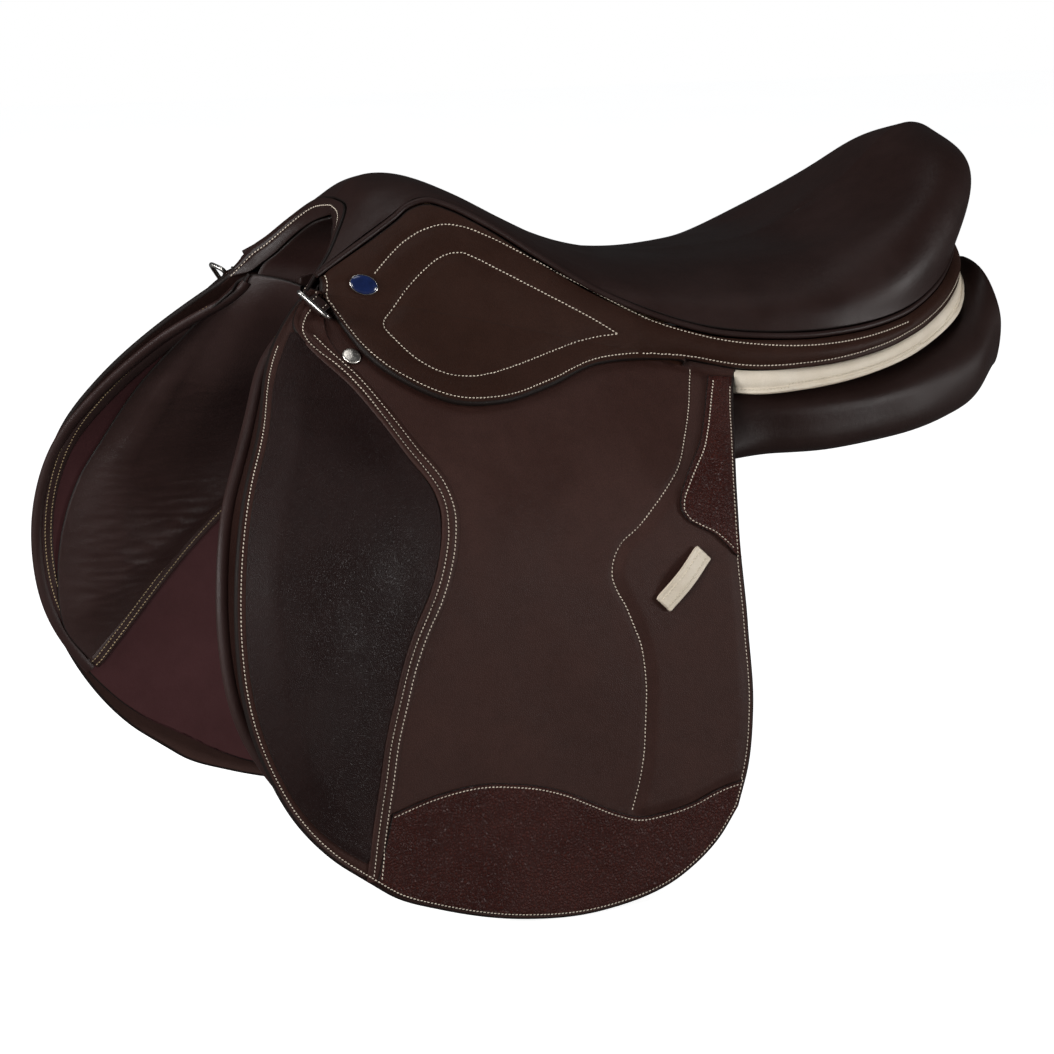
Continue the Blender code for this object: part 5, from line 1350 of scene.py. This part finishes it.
def build_billets():
    z = np.linspace(24, -212, 120)
    wide = np.interp(z, (-212, -206, -196, 12, 24), (0.45, 0.8, 1, 1, 0.7))
    for index, name in enumerate(("front", "middle", "rear")):
        centre = BILLET_MIDDLE + (index - 1) * BILLET_SPACING
        v = np.linspace(-0.5, 0.5, 19)
        plan = np.stack([centre + v[:, None] * BILLET_WIDTH * wide[None, :],
                         np.broadcast_to(z, (19, 120))], -1)
        groove = -0.3 * bell(np.abs(plan[..., 0] - centre) - BILLET_ROW, 0.8) * MM
        mesh = hide(on_drape(plan, -BILLET_DEPTH), BILLET_THICKNESS, drape_normal(plan),
                    lift=groove)
        tree = tree_of(mesh)
        rows = [on_face(tree, [(x, 20), (x, -100), (x, -196)])
                for x in (centre - BILLET_ROW, centre + BILLET_ROW)]
        # The holes are drawn as dark discs: painted shade
        holes = punched(tree, centre, range(-92, -197, -15))
        for part, made, finish, stands_for in (
                ("strap", mesh, SKIRT, [f"billet_{name}"]),
                ("stitching", stitches(rows, pitch=3.4, length=2.4), CREAM_THREAD, []),
                ("holes", holes, HOLE_SHADE, [])):
            pair(f"billet_{name}_{part}", made, finish, f"billet_{name}_SIDE",
                 stands_for)
    reach = BILLET_SPACING + 11
    x = np.linspace(BILLET_MIDDLE - reach, BILLET_MIDDLE + reach, 40)
    plan = np.stack(np.meshgrid(x, np.linspace(46, 4, 20), indexing="ij"), -1)
    mesh = hide(on_drape(plan, -WEB_FACE), WEBBING_THICKNESS, drape_normal(plan), bulge=0.4, arcs=2)
    pair("billet_web", mesh, WEB, "saddle", ["billet_webbing"])


# The panel

def ring_through(points, count):
    """Evenly spaced points on a smooth closed ring."""
    p = np.array(points, float)
    doubled = np.concatenate([p[-2:], p, p[:3]])
    fine = smooth(doubled, (len(doubled) - 1) * 40 + 1, even=False)[80:80 + len(p) * 40]
    closed = np.concatenate([fine, fine[:1]])
    run = length_along(closed)
    at = np.linspace(0, run[-1], count, endpoint=False)
    return np.stack([np.interp(at, run, closed[:, k]) for k in range(3)], 1)


def build_panel():
    stations = np.array([[(x, *point) for point in ring] for x, ring in PANEL_STATIONS], float)
    along = smooth(stations, 150, even=False)
    rings = np.array([ring_through(ring, 64) for ring in along])
    plan = np.stack([rings[..., 0], rings[..., 1] + rings[..., 2]], -1)
    rings = rings + unit(rings - rings.mean(1, keepdims=True)) * (
        ripple(plan, 31, 55.0) * 0.45)[..., None]

    def cap(ring, reach, k):
        a = math.pi / 2 * k / 9
        centre = ring.mean(0)
        return centre + (ring - centre) * math.cos(a) + (reach * math.sin(a), 0, 0)

    rings = np.concatenate([[cap(rings[0], -4.0, k) for k in range(8, 0, -1)], rings,
                            [cap(rings[-1], 6.0, k) for k in range(1, 9)]])
    pair("panel_cushion", make_mesh(near(rings)[:, ::-1], loft(*rings.shape[:2])), PANEL, "saddle",
         ["panel"])
    rows = list(GULLET_STATIONS)
    for x, ring in PANEL_STATIONS[3:]:
        width, height = ring[0]
        rows.append([(x, (width + 1.5) * k / 6, height + 3.0 - 0.25 * k / 6) for k in range(7)])
    grid = smooth(np.array(rows, float), 170, even=False)
    half = smooth(grid.transpose(1, 0, 2), 40, even=False).transpose(1, 0, 2)
    full = near(np.concatenate([half[:, :0:-1] * (1, -1, 1), half], 1))
    place("gullet_hide", hide(full, WEBBING_THICKNESS, bulge=0.5), FACING, "saddle",
          ["gullet_lining"])


def build_gusset():
    grid = near(band(GUSSET_TOP, GUSSET_FOOT, 180, 34))
    v = np.linspace(0, 1, 35)[None, :]
    shape = 2.3 * np.sin(np.clip(v / 0.70, 0, 1) * math.pi) ** 0.7 - 0.55 * bell(v - 0.76, 0.03)
    lift = np.broadcast_to((shape + 0.15) * MM, grid.shape[:2])
    mesh = hide(grid, 0.0030, bulge=0.8, lift=lift)
    pair("gusset_strip", mesh, CREAM, "saddle", ["panel_gusset"])
    row = (grid + grid_normals(grid) * 0.003)[3:-3, 27]
    pair("gusset_stitching", stitches([set_down(tree_of(mesh), row)], slant=28.0, lift=0.25),
         PALE_THREAD, "saddle")


# The studio

def build_floor():
    reach, z = 6.0, CAD_BOX[0].z - 0.0006
    mesh = bpy.data.meshes.new("floor")
    mesh.from_pydata([(-reach, -reach, z), (reach, -reach, z), (reach, reach, z),
                      (-reach, reach, z)], [], [(0, 1, 2, 3)])
    floor = bpy.data.objects.new("floor", mesh)
    bpy.context.scene.collection.objects.link(floor)
    w = Finish("floor_paper")
    tone = w.span(w.noise(3.0, 2.0), 0.3, 0.7)
    seen = w.node("ShaderNodeLightPath").outputs["Is Camera Ray"]
    pale = w.mix(tone, (0.86, 0.86, 0.86), (0.88, 0.88, 0.88))
    w.set(Base_Color=w.mix(seen, (0.22, 0.22, 0.22), pale), Roughness=w.span(tone, 0, 1, 0.9, 0.95),
          Specular_IOR_Level=0.1, Emission_Color=(1.0, 1.0, 1.0, 1.0),
          Emission_Strength=w.sum("MULTIPLY", seen, 0.82))
    mesh.materials.append(w.made)


def build_world():
    """White for the camera, dim for light and dimmer in gloss."""
    world = bpy.data.worlds.new("studio")
    bpy.context.scene.world = world
    world.use_nodes = True
    nodes, links = world.node_tree.nodes, world.node_tree.links
    path = nodes.new("ShaderNodeLightPath").outputs

    def background(colour, strength):
        made = nodes.new("ShaderNodeBackground")
        made.inputs["Color"].default_value = (*colour, 1.0)
        made.inputs["Strength"].default_value = strength
        return made.outputs[0]

    def choose(ray, first, second):
        made = nodes.new("ShaderNodeMixShader")
        for socket, value in zip(made.inputs, (path[ray], first, second)):
            links.new(value, socket)
        return made.outputs[0]

    unseen = choose("Is Glossy Ray", background((0.96, 0.98, 1.0), 0.20),
                    background((0.97, 0.98, 1.0), 0.05))
    links.new(choose("Is Camera Ray", unseen, background((1.0, 1.0, 1.0), 1.0)),
              nodes["World Output"].inputs["Surface"])


def build_lamps():
    for name, spot, size, power, colour in (
            ("key", (-2.1, -1.75, 0.50), 1.0, 31.0, (1.0, 0.985, 0.97)),
            ("fill", (1.8, -1.5, 0.08), 0.8, 29.0, (1.0, 0.99, 0.98)),
            ("top", (-0.3, -0.3, 2.6), 1.4, 11.0, (1.0, 1.0, 1.0)),
            ("front", (-2.5, -0.35, 0.75), 0.7, 30.0, (1.0, 1.0, 1.0))):
        data = bpy.data.lights.new(name, "AREA")
        data.shape = "DISK"
        data.size = size
        data.energy = power
        data.color = colour
        lamp = bpy.data.objects.new(name, data)
        bpy.context.scene.collection.objects.link(lamp)
        lamp.location = spot
        aim = Vector((0.0, 0.0, -0.02)) - Vector(spot)
        lamp.rotation_euler = aim.to_track_quat("-Z", "Y").to_euler()
    bpy.context.scene.view_settings.view_transform = "Standard"


def build_camera():
    azimuth, elevation = math.radians(AZIMUTH), math.radians(ELEVATION)
    back = Vector((math.sin(azimuth) * math.cos(elevation),
                   -math.cos(azimuth) * math.cos(elevation), math.sin(elevation)))
    right = Vector((math.cos(azimuth), math.sin(azimuth), 0.0))
    up = back.cross(right)
    data = bpy.data.cameras.new("camera")
    data.sensor_width = 36.0
    data.lens = FOCAL_PIXELS * data.sensor_width / IMAGE_PIXELS
    camera = bpy.data.objects.new("camera", data)
    bpy.context.scene.collection.objects.link(camera)
    spot = back * DISTANCE - right * AIM_RIGHT - up * AIM_UP
    camera.matrix_world = (Matrix.Translation(spot)
                           @ Matrix((right, up, back)).transposed().to_4x4())
    bpy.context.scene.camera = camera


def finish_frame_nodes():
    """Better materials for the frame's own nodes that stay."""
    finishes = {"tree": WOOD, "head_plate": STEEL, "tree_spring": STEEL, "stirrup_bar": STEEL,
                "bar_latch": STEEL, "point_plate": STEEL}
    for name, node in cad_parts.items():
        key = name.replace("_left", "").replace("_right", "")
        if key in finishes:
            node.data.materials.clear()
            node.data.materials.append(finishes[key])


build_camera()
build_floor()
build_world()
build_lamps()
build_seat()
build_button(build_skirt())
build_flap_stitching(build_flap(), build_knee_pad(), build_knee_band(), *build_patches(),
                     build_tab())
build_keeper()
build_nail()
build_dee()
build_sweat_flap()
build_front_pad()
build_pommel_rim()
build_knee_block()
build_billets()
build_panel()
build_gusset()
finish_frame_nodes()
